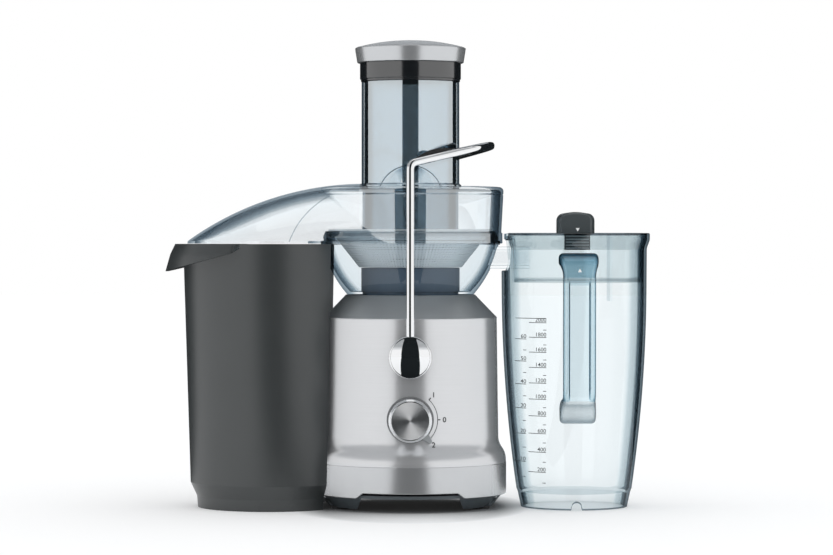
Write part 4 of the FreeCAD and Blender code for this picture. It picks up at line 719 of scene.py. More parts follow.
def spout_block(name, inset, start):
    """Block with rounded edges along the spout."""
    low, high = bowl_z + SPOUT_LOW + inset, bowl_z + SPOUT_LOW + SPOUT_TALL - inset
    half, turn = SPOUT_HALF - inset, SPOUT_ROUND - inset
    ring = rounded([(-half, low, turn), (half, low, turn), (half, high, turn), (-half, high, turn)])
    return lofted(name, [[(x, y, z) for y, z in ring] for x in (start, bowl_high.x + (1 if inset else 0))],
                  finishes["bowl_plastic"])


cut(bowl, spout_block("spout", 0.0, BOWL_MID_R - 6), "UNION")
collar_out, deck_top, above = COLLAR_R + COLLAR_WALL, deck_z + DECK_WALL, lip_z + 1
cut(bowl, turned("bowl_room", [(collar_out, bowl_z + BOWL_WALL)] + inside
                 + [(LIP_INNER_R, bowl_high.z + 1), (LIP_INNER_R, above), (0, above), (0, deck_top),
                    (collar_out, deck_top)], finishes["bowl_plastic"]))
cut(bowl, spout_block("spout_room", BOWL_WALL, BOWL_MID_R - 12))
INNER_R = 52.0


def bowl_finish(centre, normal):
    """1 on the slate middle, 2 on the spout, 3 on the standing lip, 0 elsewhere."""
    if math.hypot(centre.x, centre.y) < INNER_R:
        return 1
    return 2 if centre.x > BOWL_FLANGE_R else 3 if centre.z > flange_z + 0.1 else 0


dress(bowl, ["hub_slate", "thin_clear", "bead_plastic"], bowl_finish)
seat(bowl, "base", "clear_plastic", "juice_bowl", crease=30)

# %% [markdown]
# ## Saddles, chute and pusher
# Two arched ribs on the cover hold the locking arm down. They are the same clear plastic, but
# thin and square to the eye, so they show little more than their outline. The chute is a plain
# tube with a small foot ring; its skirt inside the cover is thicker and looks smokier, so that
# part of the same mesh takes a darker finish. The pusher's collar and cap are lathe work.

# %% Saddles
SADDLE_R, SADDLE_WALL, SADDLE_HALF = 31.5, 1.3, 29.5
SADDLE_INNER_Y, SADDLE_OUTER_Y = 47.6, 87.3
SADDLE_STEPS = 36
saddle_axis_z = cover_high.z - SADDLE_R
lean = math.asin(SADDLE_HALF / SADDLE_R)
arch = [(radius * math.sin(a), saddle_axis_z + radius * math.cos(a))
        for radius, way in ((SADDLE_R, 1), (SADDLE_R - SADDLE_WALL, -1))
        for a in (way * lean * (2 * i / SADDLE_STEPS - 1) for i in range(SADDLE_STEPS + 1))]
for side, name in ((-1, "front_saddle"), (1, "rear_saddle")):
    rib = lofted(name, [[(x, side * y, z) for x, z in arch] for y in (SADDLE_INNER_Y, SADDLE_OUTER_Y)],
                 finishes["thin_clear"])
    seat(rib, "base", "clear_plastic")

# %% Chute
chute_low, chute_high = span("feed_chute")
CHUTE_BORE_R = 44.0
SKIRT_R = 46.0
FOOT_R, FOOT_HIGH = 48.8, 1.6
foot_z = drum_top_z + 0.2
skirt_z = drum_top_z - COVER_WALL
chute = turned("feed_chute", rounded([
    (CHUTE_BORE_R, chute_low.z), (SKIRT_R, chute_low.z, 0.6), (SKIRT_R, skirt_z), (CHUTE_R, skirt_z),
    (CHUTE_R, foot_z), (FOOT_R, foot_z, 0.3), (FOOT_R, foot_z + FOOT_HIGH, 0.5),
    (CHUTE_R, foot_z + 2 * FOOT_HIGH, 0.8),
    (CHUTE_R, chute_high.z, 0.8), (CHUTE_BORE_R, chute_high.z, 0.8), (CHUTE_BORE_R, skirt_z)]),
    finishes["chute_plastic"])
dress(chute, ["skirt_plastic"], lambda centre, normal: 1 if centre.z < skirt_z - 0.1 else 0)
seat(chute, "base", "clear_plastic", "feed_chute")

# %% Pusher collar and cap
collar_low, collar_high = span("pusher_collar")
cap_low, cap_high = span("pusher_cap")
COLLAR_INNER_R = 43.3
COLLAR_LIP, COLLAR_STEP = 2.0, 0.9
collar_r, collar_z = collar_high.x, collar_low.z
collar = turned("pusher_collar", rounded([
    (COLLAR_INNER_R, collar_z), (collar_r - COLLAR_STEP, collar_z, 0.5),
    (collar_r - COLLAR_STEP, collar_z + COLLAR_LIP, 0.3), (collar_r, collar_z + COLLAR_LIP + 0.5, 0.4),
    (collar_r, cap_low.z, 0.6), (COLLAR_INNER_R, cap_low.z)]), finishes["black_plastic"])
seat(collar, "pusher", "black_plastic", "pusher_collar")
CAP_LOW_R, CAP_EDGE_DOWN = 51.0, 7.5
CAP_SHOULDER_R, CAP_SHOULDER_DOWN = 50.4, 6.3
cap_r = cap_high.x
crown = bow((CAP_SHOULDER_R, cap_high.z - CAP_SHOULDER_DOWN), (CAP_SHOULDER_R / 2, cap_high.z - 1.4),
            (0, cap_high.z))
cap = turned("pusher_cap", rounded([
    (0, cap_low.z), (CAP_LOW_R, cap_low.z, 1.0), (cap_r, cap_high.z - CAP_EDGE_DOWN, 1.2),
    (CAP_SHOULDER_R + 0.6, cap_high.z - CAP_SHOULDER_DOWN - 0.1, 0.4)]) + crown, finishes["silver_plastic"])
seat(cap, "pusher", "silver_plastic", "pusher_cap", crease=50)

# %% [markdown]
# ## Pivot discs, hem and trim
# The arm turns in two chromed discs, front and rear. Each is a shallow dome with a rolled rim: a
# mirror that curves a little shows the studio squeezed together, with the dark card as an upright
# bar. The steel wrap ends in a rolled hem at its top, and stands on a painted trim whose lower
# edge rises over the two arches between the feet.

# %% Pivot discs
disc_low, disc_high = span("pivot_caps")
DISC_BACK_Y, DISC_RIM_Y = 88.0, 98.0
disc_r = disc_high.x
disc_z = (disc_low.z + disc_high.z) / 2
disc_front = bow((disc_r - 1.6, DISC_RIM_Y + 0.9), (disc_r / 2, disc_high.y - 1.0), (0, disc_high.y))
disc_outline = rounded([(0, DISC_BACK_Y), (disc_r, DISC_BACK_Y), (disc_r, DISC_RIM_Y, 1.2),
                        (disc_r - 1.4, DISC_RIM_Y + 0.3, 0.2)]) + disc_front
for side, name in ((1, "front_pivot_disc"), (-1, "rear_pivot_disc")):
    disc = turned(name, [(radius, side * height) for radius, height in disc_outline], finishes["chrome"],
                  centre=(0, disc_z), lying=True)
    seat(disc, "arm", "chrome", *(["pivot_caps"] if side == 1 else []), crease=50)

# %% Hem and trim
wrap_high = span("body_wrap")[1]
cone_high = span("top_cone")[1]
HEM_R, HEM_SUNK, HEM_SIDES = 0.5, 0.4, 10
hem_round = [(cone_high.x - HEM_R * HEM_SUNK + HEM_R * math.cos(a), wrap_high.z - HEM_R + HEM_R * math.sin(a))
             for a in (math.tau * i / HEM_SIDES for i in range(HEM_SIDES))]
seat(turned("wrap_hem", hem_round, finishes["brushed_steel"]), "base", "brushed_steel")
trim_low, trim_high = span("base_trim")
TRIM_WALL = 3.0
TRIM_OVER, TRIM_PROUD = 2.4, 0.25
ARCH_HALF, ARCH_SLOPE, ARCH_RISE = 45.0, 6.0, 5.0
trim_r = trim_high.x + TRIM_PROUD
trim_top = trim_high.z + TRIM_OVER


def trim_outline(angle):
    """Trim section; its lower edge rises over the arches at the front and the rear."""
    across = abs(trim_r * math.cos(angle))
    lift = ARCH_RISE * min(max((ARCH_HALF + ARCH_SLOPE - across) / ARCH_SLOPE, 0), 1)
    foot = trim_low.z + lift
    return rounded([(trim_r - TRIM_WALL, foot), (trim_r, foot, 0.8), (trim_r, trim_top, 1.4),
                    (trim_r - TRIM_WALL, trim_top)])


trim = turned("base_trim", trim_outline, finishes["silver_plastic"], steps=360)
seat(trim, "base", "silver_plastic", "base_trim")

# %% [markdown]
# ## Speed dial
# The dial is a turned aluminium knob with a bright bevel round a spun face. Its side is finely
# knurled for grip, so the outline of each turn step swings in and out. Under it sits the pointer,
# a small wedge that turns with the dial, and round it a printed arc with three marks. The marks
# lie on the curved wrap, so they are drawn flat first and then pressed onto its radius.

# %% Dial
dial_low, dial_high = span("speed_dial")
face_low, face_high = span("dial_face")
KNURLS = 60
KNURL_DEEP = 0.25
KNURL_STEPS = 4
DIAL_R = 20.5
face_r = (face_high.z - face_low.z) / 2
dial_z = (face_low.z + face_high.z) / 2
dial_back, dial_front = -dial_high.y, -dial_low.y
BEVEL = 1.7


def dial_outline(angle):
    """Knob section, with its side knurled."""
    side = DIAL_R - KNURL_DEEP * (0.5 + 0.5 * math.cos(KNURLS * angle))
    return rounded([(face_r - 1, dial_back), (side - 0.4, dial_back), (side, dial_back + 0.8),
                    (side, dial_front - BEVEL - 1.2), (DIAL_R - 0.35, dial_front - BEVEL - 0.8),
                    (DIAL_R - 0.3, dial_front - BEVEL, 0.4), (face_r + 0.6, dial_front, 0.3),
                    (face_r, dial_front - 0.3), (face_r, dial_front - 2.0),
                    (face_r - 1, dial_front - 2.0)], steps=3)


knob = turned("speed_dial", dial_outline, finishes["bright_metal"], centre=(0, dial_z),
              steps=KNURLS * KNURL_STEPS, lying=True)
seat(knob, "dial", "spun_metal", "speed_dial")
RINGS = 14
disc = turned("dial_face", [(0, dial_front - 1.6), (face_r, dial_front - 1.6)]
              + [(face_r * (1 - i / RINGS), dial_front - 0.55) for i in range(RINGS + 1)],
              finishes["spun_metal"], centre=(0, dial_z), lying=True)
around = disc.data.uv_layers.new(name="around")
for face in disc.data.polygons:
    middle = math.atan2(face.center.z - dial_z * MM, face.center.x)
    for corner in face.loop_indices:
        place = disc.data.vertices[disc.data.loops[corner].vertex_index].co
        radius = math.hypot(place.x, place.z - dial_z * MM)
        angle = math.atan2(place.z - dial_z * MM, place.x) if radius > 1e-6 else middle
        angle += math.tau * round((middle - angle) / math.tau)
        around.data[corner].uv = (angle / math.tau, radius / (face_r * MM))
seat(disc, "dial", "spun_metal", "dial_face")

# %% Pointer
POINTER_ANGLE = math.radians(-47)
POINTER_START, POINTER_END = 17.0, 29.0
POINTER_HALF, POINTER_TIP_HALF = 4.6, 1.5
POINTER_THICK = 3.0
wedge = rounded([(POINTER_START, -POINTER_HALF), (POINTER_END, -POINTER_TIP_HALF, 0.5),
                 (POINTER_END, POINTER_TIP_HALF, 0.5), (POINTER_START, POINTER_HALF)])


def on_dial(along, across, height):
    """A point given along and across the pointer, this far out from the drive axis to the front."""
    turn = Matrix.Rotation(POINTER_ANGLE, 2) @ Vector((along, across))
    return turn.x, -height, dial_z + turn.y


wedge_middle = ((POINTER_START + POINTER_END) / 2, 0)
layers = [(wedge, dial_back), (wedge, dial_back + POINTER_THICK - 0.4),
          (shrunk(wedge, 0.4, wedge_middle), dial_back + POINTER_THICK)]
pointer = lofted("dial_pointer", [[on_dial(a, b, height) for a, b in outline] for outline, height in layers],
                 finishes["pointer_grey"])
seat(pointer, "dial", "spun_metal")

# %% [markdown]
# ## Locking arm and its lining
# The arm is one plated rod: up from the front disc, round a loop over the jug side, and down to
# the rear disc. Its section is a circle drawn slightly square, as a rod looks after bending, and
# the flatter front widens the dark stripe it mirrors. The loop has a black lining on its inside,
# where fingers pull it over; it rises above the rod in two shallow crescents. Rod and lining are
# lofts along the same path, so the path is worked out once.

# %% Path of the loop
arm_high = span("locking_arm")[1]
ROD_R = 3.5
LOOP_TIP_X, LOOP_TIP_Z, LOOP_CORNER_Z = 77.0, 345.6, 326.6
LOOP_SWEEP = math.radians(70)
rod_y = arm_high.y - ROD_R
slope = math.atan2(LOOP_TIP_Z - LOOP_CORNER_Z, LOOP_TIP_X)
reach = math.hypot(LOOP_TIP_X, LOOP_TIP_Z - LOOP_CORNER_Z)
sine, cosine = math.sin(LOOP_SWEEP), math.cos(LOOP_SWEEP)
loop_r = (rod_y * sine / cosine - reach) / (cosine - 1 + sine ** 2 / cosine)
loop_centre = reach - loop_r
LINING_START = 5.0
STRAIGHT_STEPS, ARC_STEPS = 24, 48
arc_start = Vector((loop_centre + loop_r * cosine, -loop_r * sine))
bar_start = Vector((0, -rod_y)).lerp(arc_start, LINING_START / arc_start.x)
front_bar = [bar_start.lerp(arc_start, i / STRAIGHT_STEPS) for i in range(STRAIGHT_STEPS)]
tip_arc = [Vector((loop_centre + loop_r * math.cos(a), loop_r * math.sin(a)))
           for a in (LOOP_SWEEP * (2 * i / ARC_STEPS - 1) for i in range(ARC_STEPS + 1))]
rear_bar = [Vector((p.x, -p.y)) for p in reversed(front_bar)]
loop_path = front_bar + tip_arc + rear_bar
print("loop radius", round(loop_r, 1), "mm, tilted", round(math.degrees(slope), 1), "degrees")

# %% Rod
FOOT_Z, BEND = 155.8, 6.0
ROD_HALF, ROD_SQUARE, ROD_POINTS = 3.7, 2.5, 32
UPRIGHT_STEPS, BEND_STEPS = 20, 10


def in_loop(p, q, lift=0.0):
    """Point of the loop's tilted plane, or a lift above it."""
    return Vector((p * math.cos(slope) - lift * math.sin(slope), q,
                   LOOP_CORNER_Z + p * math.sin(slope) + lift * math.cos(slope)))


corner = in_loop(0, -rod_y)
bar_end = in_loop(*arc_start)
bend_start = corner - Vector((0, 0, BEND))
bend_end = corner + (bar_end - corner).normalized() * BEND
bend = []
for i in range(1, BEND_STEPS):
    t = i / BEND_STEPS
    bend.append(bend_start * (1 - t) ** 2 + corner * 2 * t * (1 - t) + bend_end * t ** 2)
upright = [Vector((0, -rod_y, FOOT_Z)).lerp(bend_start, i / UPRIGHT_STEPS) for i in range(UPRIGHT_STEPS + 1)]
bar = [bend_end.lerp(bar_end, i / STRAIGHT_STEPS) for i in range(STRAIGHT_STEPS)]
half_rod = upright + bend + bar + [in_loop(*point) for point in tip_arc[:ARC_STEPS // 2]]
rod_path = half_rod + [in_loop(reach, 0)] + [Vector((p.x, -p.y, p.z)) for p in reversed(half_rod)]
loop_middle = in_loop(loop_centre, 0)


def rod_section(index):
    """Ring across the rod, square to its path."""
    here = rod_path[index]
    along = heading(rod_path, index)
    outward = Vector((max(here.x - loop_middle.x, 0), here.y, 0)).normalized()
    outward = (outward - along * along.dot(outward)).normalized()
    beside = along.cross(outward)
    points = []
    for k in range(ROD_POINTS):
        a = math.tau * k / ROD_POINTS
        wide = math.copysign(abs(math.cos(a)) ** (2 / ROD_SQUARE), math.cos(a))
        deep = math.copysign(abs(math.sin(a)) ** (2 / ROD_SQUARE), math.sin(a))
        points.append(here + (beside * wide + outward * deep) * ROD_HALF)
    return points


rod = lofted("locking_arm", [rod_section(i) for i in range(len(rod_path))], finishes["chrome"])
seat(rod, "arm", "chrome", "locking_arm", crease=60)

# %% Lining
LINING_IN, LINING_OUT = 4.4, 1.0
LINING_LOW, LINING_TOP = -2.6, 2.9
CRESCENT_END, CRESCENT_RISE = 47.0, 5.0


def lining_section(index):
    """Ring across the lining at one place of the loop, in the loop's tilted plane."""
    here = loop_path[index]
    along = heading(loop_path, index)
    inward = Vector((-along.y, along.x))
    share = (here.x - bar_start.x) / (CRESCENT_END - bar_start.x)
    rise = CRESCENT_RISE * math.sin(math.pi * share) if 0 < share < 1 else 0
    ring = rounded([(LINING_OUT, LINING_LOW, 0.4), (LINING_IN, LINING_LOW, 0.8),
                    (LINING_IN, LINING_TOP + rise, 0.8), (LINING_OUT, LINING_TOP + rise, 0.8)], steps=4)
    return [in_loop(*(here + inward * across), up) for across, up in ring]


lining = lofted("arm_lining", [lining_section(i) for i in range(len(loop_path))], finishes["grip_black"])
seat(lining, "arm", "black_plastic")

# %% [markdown]
# ## Filter basket
# The basket's wall is etched steel sheet with thousands of fine holes, far too fine to draw, so
# the holes here are about four times as wide. What repeats is made with Geometry Nodes: one flat
# cell with a hole is put on every point of a grid, the cells are joined, and Set Position rolls
# the sheet up into the cone. The numbers of cells and the cone's sizes are inputs of the tree.

# %% Node tree pieces
def new_tree(name, inputs):
    """Geometry tree with its named inputs; returns it with its input node."""
    tree = bpy.data.node_groups.new(name, "GeometryNodeTree")
    for label, kind in inputs:
        tree.interface.new_socket(label, in_out="INPUT", socket_type="NodeSocket" + kind)
    tree.interface.new_socket("Geometry", in_out="OUTPUT", socket_type="NodeSocketGeometry")
    return tree, add(tree, "NodeGroupInput").outputs


def finish_tree(tree, geometry, finish):
    """Realize what the tree made and give it its finish."""
    solid = add(tree, "GeometryNodeRealizeInstances", links={"Geometry": geometry})
    dressed = add(tree, "GeometryNodeSetMaterial", links={"Geometry": solid.outputs[0], "Material": finish})
    add(tree, "NodeGroupOutput", links={"Geometry": dressed.outputs[0]})


def grown(name, tree, values):
    """Plain mesh piece that a tree makes from these inputs."""
    piece = make(name, [], [], None)
    step = piece.modifiers.new("nodes", "NODES")
    step.node_group = tree
    sockets = {item.name: item.identifier for item in tree.interface.items_tree if item.in_out == "INPUT"}
    for label, value in values.items():
        step[sockets[label]] = value
    return freeze(piece)


print("tree tools ready")

# %% Tree that rolls a perforated sheet into a cone
roll, given = new_tree("perforated_cone", [
    ("Cell", "Object"), ("Cells round", "Int"), ("Cells up", "Int"), ("Low radius", "Float"),
    ("Top radius", "Float"), ("Low height", "Float"), ("Top height", "Float"), ("Finish", "Material")])


def sum_node(operation, first, second):
    """Math node on two sockets or numbers."""
    fixed = {i: v for i, v in enumerate((first, second)) if isinstance(v, (int, float))}
    linked = {i: v for i, v in enumerate((first, second)) if i not in fixed}
    return add(roll, "ShaderNodeMath", {"operation": operation, **fixed}, linked).outputs[0]


grid = add(roll, "GeometryNodeMeshGrid", links={
    "Vertices X": given["Cells round"], "Vertices Y": given["Cells up"],
    "Size X": sum_node("SUBTRACT", given["Cells round"], 1),
    "Size Y": sum_node("SUBTRACT", given["Cells up"], 1)})
cell_shape = add(roll, "GeometryNodeObjectInfo", links={"Object": given["Cell"]})
sheet = add(roll, "GeometryNodeInstanceOnPoints", links={"Points": grid.outputs["Mesh"],
                                                         "Instance": cell_shape.outputs["Geometry"]})
sheet = add(roll, "GeometryNodeRealizeInstances", links={"Geometry": sheet.outputs["Instances"]})
spot = add(roll, "GeometryNodeInputPosition").outputs[0]
flat = add(roll, "ShaderNodeSeparateXYZ", links={0: spot}).outputs
turn = sum_node("MULTIPLY", sum_node("DIVIDE", flat["X"], given["Cells round"]), math.tau)
share = sum_node("ADD", sum_node("DIVIDE", flat["Y"], given["Cells up"]), 0.5)
radius, height = [
    add(roll, "ShaderNodeMix", links={0: share, 2: given["Low " + what], 3: given["Top " + what]}).outputs[0]
    for what in ("radius", "height")]
rolled = add(roll, "ShaderNodeCombineXYZ", links={
    "X": sum_node("MULTIPLY", radius, sum_node("COSINE", turn, 0.0)),
    "Y": sum_node("MULTIPLY", radius, sum_node("SINE", turn, 0.0)), "Z": height})
cone = add(roll, "GeometryNodeSetPosition",
           links={"Geometry": sheet.outputs[0], "Position": rolled.outputs[0]})
cone = add(roll, "GeometryNodeMergeByDistance", {"Distance": 0.01 * MM}, {"Geometry": cone.outputs[0]})
finish_tree(roll, cone.outputs[0], given["Finish"])
print("cone tree has", len(roll.nodes), "nodes")

# %% Filter wall
mesh_low, mesh_high = span("filter_mesh")
CELLS_ROUND, CELLS_UP = 120, 15
HOLE_SHARE = 0.27
FILTER_LOW_R, FILTER_TOP_R, FILTER_WALL = 49.0, 75.5, 0.8
corner_spots = [(0.5, 0), (0.5, 0.5), (0, 0.5), (-0.5, 0.5), (-0.5, 0), (-0.5, -0.5), (0, -0.5), (0.5, -0.5)]
hole_spots = [(HOLE_SHARE * math.cos(a), HOLE_SHARE * math.sin(a))
              for a in (math.tau * i / 8 for i in range(8))]
cell = make("cell", [(x / MM, y / MM, 0) for x, y in corner_spots + hole_spots],
            [(i, (i + 1) % 8, 8 + (i + 1) % 8, 8 + i) for i in range(8)], finishes["mesh_steel"])
wall = grown("filter_mesh", roll, {
    "Cell": cell, "Cells round": CELLS_ROUND, "Cells up": CELLS_UP,
    "Low radius": FILTER_LOW_R * MM, "Top radius": FILTER_TOP_R * MM,
    "Low height": mesh_low.z * MM, "Top height": mesh_high.z * MM, "Finish": finishes["mesh_steel"]})
bpy.data.objects.remove(cell)
thick = wall.modifiers.new("wall", "SOLIDIFY")
thick.thickness = FILTER_WALL * MM
thick.offset = 0.0
freeze(wall)
seat(wall, "spinner", "mesh_steel", "filter_mesh", crease=50)

# %% Basket rim
rim_low, rim_high = span("basket_rim")
RIM_DROP, RIM_INNER_R = 4.5, 74.5
rim = turned("basket_rim", rounded([
    (RIM_INNER_R, rim_low.z - RIM_DROP + 2), (RIM_INNER_R + 1.6, rim_low.z - RIM_DROP),
    (rim_high.x, rim_low.z - 1, 1.0), (rim_high.x, rim_high.z - 1.5, 1.2),
    (RIM_INNER_R, rim_high.z - 1.5, 0.8)]), finishes["rim_white"])
seat(rim, "spinner", "basket_plastic", "basket_rim")

# %% [markdown]
# ## Lip of the bin
# The bin has a turned-down lip on its far side, to lift it by and to pour over. On the real bin
# the lip stays deep almost to its end and then curls up into the rim. That end is one more lathe
# outline that follows the angle, laid over the plain lip. Past its ends only a thread is left, which
# lies on the rim and, where the bin is open, crosses the gap.

# %% Bin lip
LIP_SKIN, LIP_WALL = 0.2, 2.0
BIN_RIM_R, FLAT_R, KNEE_R, TIP_R = 84.0, 91.5, 96.3, 100.8
KNEE_DROP, TIP_DROP, CURL_DROP = 10.0, 26.0, 9.6
LIP_MIDDLE_R = 97.0
CURL_X, LIP_END_X = -172.0, -163.0
LIP_STEPS, THREAD_HIGH, THREAD_WIDE, FADE_START = 8, 0.3, 0.2, 0.6
thread_r = BIN_RIM_R - 1.0
bin_x = bin_low.x + TIP_R


def lip_outline(angle):
    """Lip section; it gets shallower toward its ends and curls up into the rim there."""
    x = bin_x + LIP_MIDDLE_R * math.cos(angle)
    tip_x = bin_x - LIP_MIDDLE_R
    along = min((x - tip_x) / (CURL_X - tip_x), 1)
    past = min(max((x - CURL_X) / (LIP_END_X - CURL_X), 0), 1)
    deep = (TIP_DROP + (CURL_DROP - TIP_DROP) * along) * math.sqrt(1 - past ** 2) + THREAD_HIGH
    keep = 1 - ramp(past, FADE_START, 1.0)
    outer = []
    for i in range(LIP_STEPS + 1):
        drop = deep * i / LIP_STEPS
        radius = FLAT_R + (KNEE_R - FLAT_R) * min(drop / KNEE_DROP, 1)
        radius += (TIP_R - KNEE_R) * max(drop - KNEE_DROP, 0) / (TIP_DROP - KNEE_DROP)
        skin = LIP_SKIN * keep
        outer.append((thread_r + (radius - thread_r) * keep + skin, bin_high.z - drop + skin))
    inner = [(radius - LIP_WALL * keep - THREAD_WIDE, z) for radius, z in reversed(outer)]
    return outer + inner


lip = turned("bin_lip", lip_outline, finishes["bin_plastic"], centre=(bin_x, 0), steps=300)
seat(lip, "bin", "bin_plastic", crease=40)

# %% [markdown]
# ## Juice jug
# The jug is blown clear plastic: an oval pot that swells gently from floor to shoulder and flares
# at the rim. One side is cut down for the juice spout and the foot ring has a small notch at the
# front, so the lathe outline changes with the angle. The radius at a height is written as a
# function, because the printed scale must later lie on exactly the same surface.

# %% Jug side
jug_low, jug_high = span("juice_jug")
JUG_OVAL, JUG_WALL = 1.05, 2.6
RIM_R, NECK_R, SIDE_R, WAIST_R, LOW_R = 72.6, 69.7, 69.4, 64.8, 55.2
RIM_Z, NECK_Z, SIDE_Z, WAIST_Z, LOW_Z = 257.0, 246.0, 200.0, 102.0, 17.5
jug_x = jug_high.x - RIM_R


def jug_side(z):
    """Outer radius of the jug at a height: an even curve, a straight neck and a flared rim."""
    if z >= SIDE_Z:
        straight = SIDE_R + (NECK_R - SIDE_R) * min((z - SIDE_Z) / (NECK_Z - SIDE_Z), 1)
        return straight + (RIM_R - NECK_R) * ramp(z, NECK_Z, RIM_Z)
    low = LOW_R * (z - WAIST_Z) * (z - SIDE_Z) / ((LOW_Z - WAIST_Z) * (LOW_Z - SIDE_Z))
    waist = WAIST_R * (z - LOW_Z) * (z - SIDE_Z) / ((WAIST_Z - LOW_Z) * (WAIST_Z - SIDE_Z))
    side = SIDE_R * (z - LOW_Z) * (z - WAIST_Z) / ((SIDE_Z - LOW_Z) * (SIDE_Z - WAIST_Z))
    return low + waist + side


print("jug axis at x =", round(jug_x, 1), "mm; radius half way up", round(jug_side(131), 1), "mm")

# %% Jug body
NOTCH_HALF, NOTCH_Z, NOTCH_CORNER = 34.0, 226.0, 12.0
FOOT_R, FOOT_TOP_R, FLOOR_Z = 50.9, 54.0, 14.5
DRAIN_R, DRAIN_TOP = 5.0, 7.0
BRIM_HIGH = 2.2
HEEL_HIGH, HEEL_LEAN = 1.5, 0.3
FLOOR_TOP, FLOOR_UNDER, FLOOR_ROUND = 14.8, 12.2, 2.5
side_levels = [LOW_Z + (SIDE_Z - LOW_Z) * i / 26 for i in range(27)]
rim_levels = [NECK_Z + (RIM_Z - NECK_Z) * i / 8 for i in range(9)]


def notch_level(angle):
    """Height of the jug's side; it drops towards the bowl for the juice spout."""
    beside = abs(RIM_R * JUG_OVAL * math.sin(angle))
    if math.cos(angle) > 0 or beside > NOTCH_HALF:
        return jug_high.z
    turn = max(beside - NOTCH_HALF + NOTCH_CORNER, 0)
    return NOTCH_Z + NOTCH_CORNER - math.sqrt(NOTCH_CORNER ** 2 - turn ** 2)


def foot_level(angle):
    """Height of the foot ring's lower edge; it arches over the drain notch at the front."""
    beside = abs(FOOT_R * math.cos(angle))
    if math.sin(angle) > 0 or beside > DRAIN_R:
        return 0.0
    return DRAIN_TOP - DRAIN_R + math.sqrt(DRAIN_R ** 2 - beside ** 2)


BRIM_ROUND = 0.8
brim_levels = [jug_high.z - BRIM_HIGH, jug_high.z - BRIM_ROUND]


def jug_outline(angle):
    """Jug section: side, brim, inside, floor and foot ring."""
    top, foot = notch_level(angle), foot_level(angle)
    levels = [min(z, top - BRIM_ROUND) for z in side_levels + rim_levels + brim_levels]
    outer = [(jug_side(z), z) for z in levels]
    inner = [(radius - JUG_WALL, z) for radius, z in reversed(outer)]
    brim = [(jug_side(top) - BRIM_ROUND, top), (jug_side(top) - JUG_WALL + BRIM_ROUND, top)]
    floor = [(LOW_R - JUG_WALL - FLOOR_ROUND, FLOOR_TOP), (0, FLOOR_TOP), (0, FLOOR_UNDER),
             (FOOT_TOP_R - JUG_WALL - 0.5, FLOOR_UNDER)]
    foot_ring = [(FOOT_R - JUG_WALL, foot), (FOOT_R, foot), (FOOT_R + HEEL_LEAN, foot + HEEL_HIGH),
                 (FOOT_TOP_R, FLOOR_Z)]
    return outer + brim + inner + floor + foot_ring


jug = turned("juice_jug", jug_outline, finishes["jug_plastic"], centre=(jug_x, 0), oval=JUG_OVAL, steps=300)
LEVEL = 0.9


def jug_finish(centre, normal):
    """3 on heel and brim, 2 on the level floor, 1 on the flared rim, 0 on the side."""
    by_drain = abs(centre.x - jug_x) < DRAIN_R + 0.5 and centre.y < 0
    heel_top = DRAIN_TOP + HEEL_HIGH if by_drain else HEEL_HIGH
    if centre.z < heel_top or centre.z > jug_high.z - BRIM_HIGH:
        return 3
    return 2 if abs(normal.z) > LEVEL and centre.z < SIDE_Z else 1 if centre.z > NECK_Z else 0


dress(jug, ["rim_plastic", "floor_clear", "heel_plastic"], jug_finish)
seat(jug, "jug", "jug_plastic", "juice_jug", crease=40)

# %% [markdown]
# ## Jug handle
# The handle is moulded with the jug from the same plastic, but it is a solid bar, so it looks
# much bluer. A loft carries its section along the path: out from the rim, down the grip and back
# in. The section has a channel in front, which is shallow at both ends, and swells at the roots.

# %% Handle path and section
HANDLE_ROOT_Y, GRIP_Y = -71.5, jug_low.y + 5.5
HANDLE_TOP_Z, HANDLE_HEEL_Z, HANDLE_LOW_Z = 236.5, 110.0, 92.0
HANDLE_HALF, HANDLE_FLARE = 15.2, 2.8
GRIP_THICK, TOP_THICK, ROOT_THICK, ROOT_DOWN = 11.0, 13.0, 20.0, 5.0
CHANNEL_HALF, CHANNEL_DEEP = 10.0, 5.0
CHANNEL_TOP, CHANNEL_LOW, CHANNEL_RUN = 212.0, 116.0, 9.0
PATH_STEP, GRIP_ROUND = 2.5, 4.4
corners = rounded([(HANDLE_ROOT_Y, HANDLE_TOP_Z), (GRIP_Y, HANDLE_TOP_Z, 11),
                   (GRIP_Y + 1.5, HANDLE_HEEL_Z, 12), (HANDLE_ROOT_Y + 6, HANDLE_LOW_Z)], steps=10)
path = []
for start, end in zip(corners, corners[1:]):
    count = max(round((Vector(end) - Vector(start)).length / PATH_STEP), 1)
    path += [Vector(start).lerp(Vector(end), i / count) for i in range(count)]
path.append(Vector(corners[-1]))


def grip_section(index):
    """Ring of points across the handle at one place on its path."""
    here = path[index]
    along = heading(path, index)
    out = Vector((along.y, -along.x))
    top_share = ramp(here.y, CHANNEL_TOP + 10, HANDLE_TOP_Z)
    root_share = ramp(here.x, GRIP_Y + 8, HANDLE_ROOT_Y) if here.y < HANDLE_HEEL_Z else 0
    thick = GRIP_THICK + (TOP_THICK - GRIP_THICK) * top_share + (ROOT_THICK - GRIP_THICK) * root_share
    half = HANDLE_HALF + HANDLE_FLARE * max(top_share, 0.6 * root_share)
    deep = CHANNEL_DEEP * ramp(here.y, CHANNEL_LOW - CHANNEL_RUN, CHANNEL_LOW)
    deep *= 1 - ramp(here.y, CHANNEL_TOP, CHANNEL_TOP + CHANNEL_RUN)
    front = thick / 2
    floor_half = CHANNEL_HALF - 1.2
    ring = rounded([(CHANNEL_HALF, front), (floor_half, front - deep), (-floor_half, front - deep),
                    (-CHANNEL_HALF, front), (-half, front, GRIP_ROUND), (-half, -front, GRIP_ROUND),
                    (half, -front, GRIP_ROUND), (half, front, GRIP_ROUND)])
    return [(jug_x + across, here.x + out.x * lift, here.y + out.y * lift) for across, lift in ring]


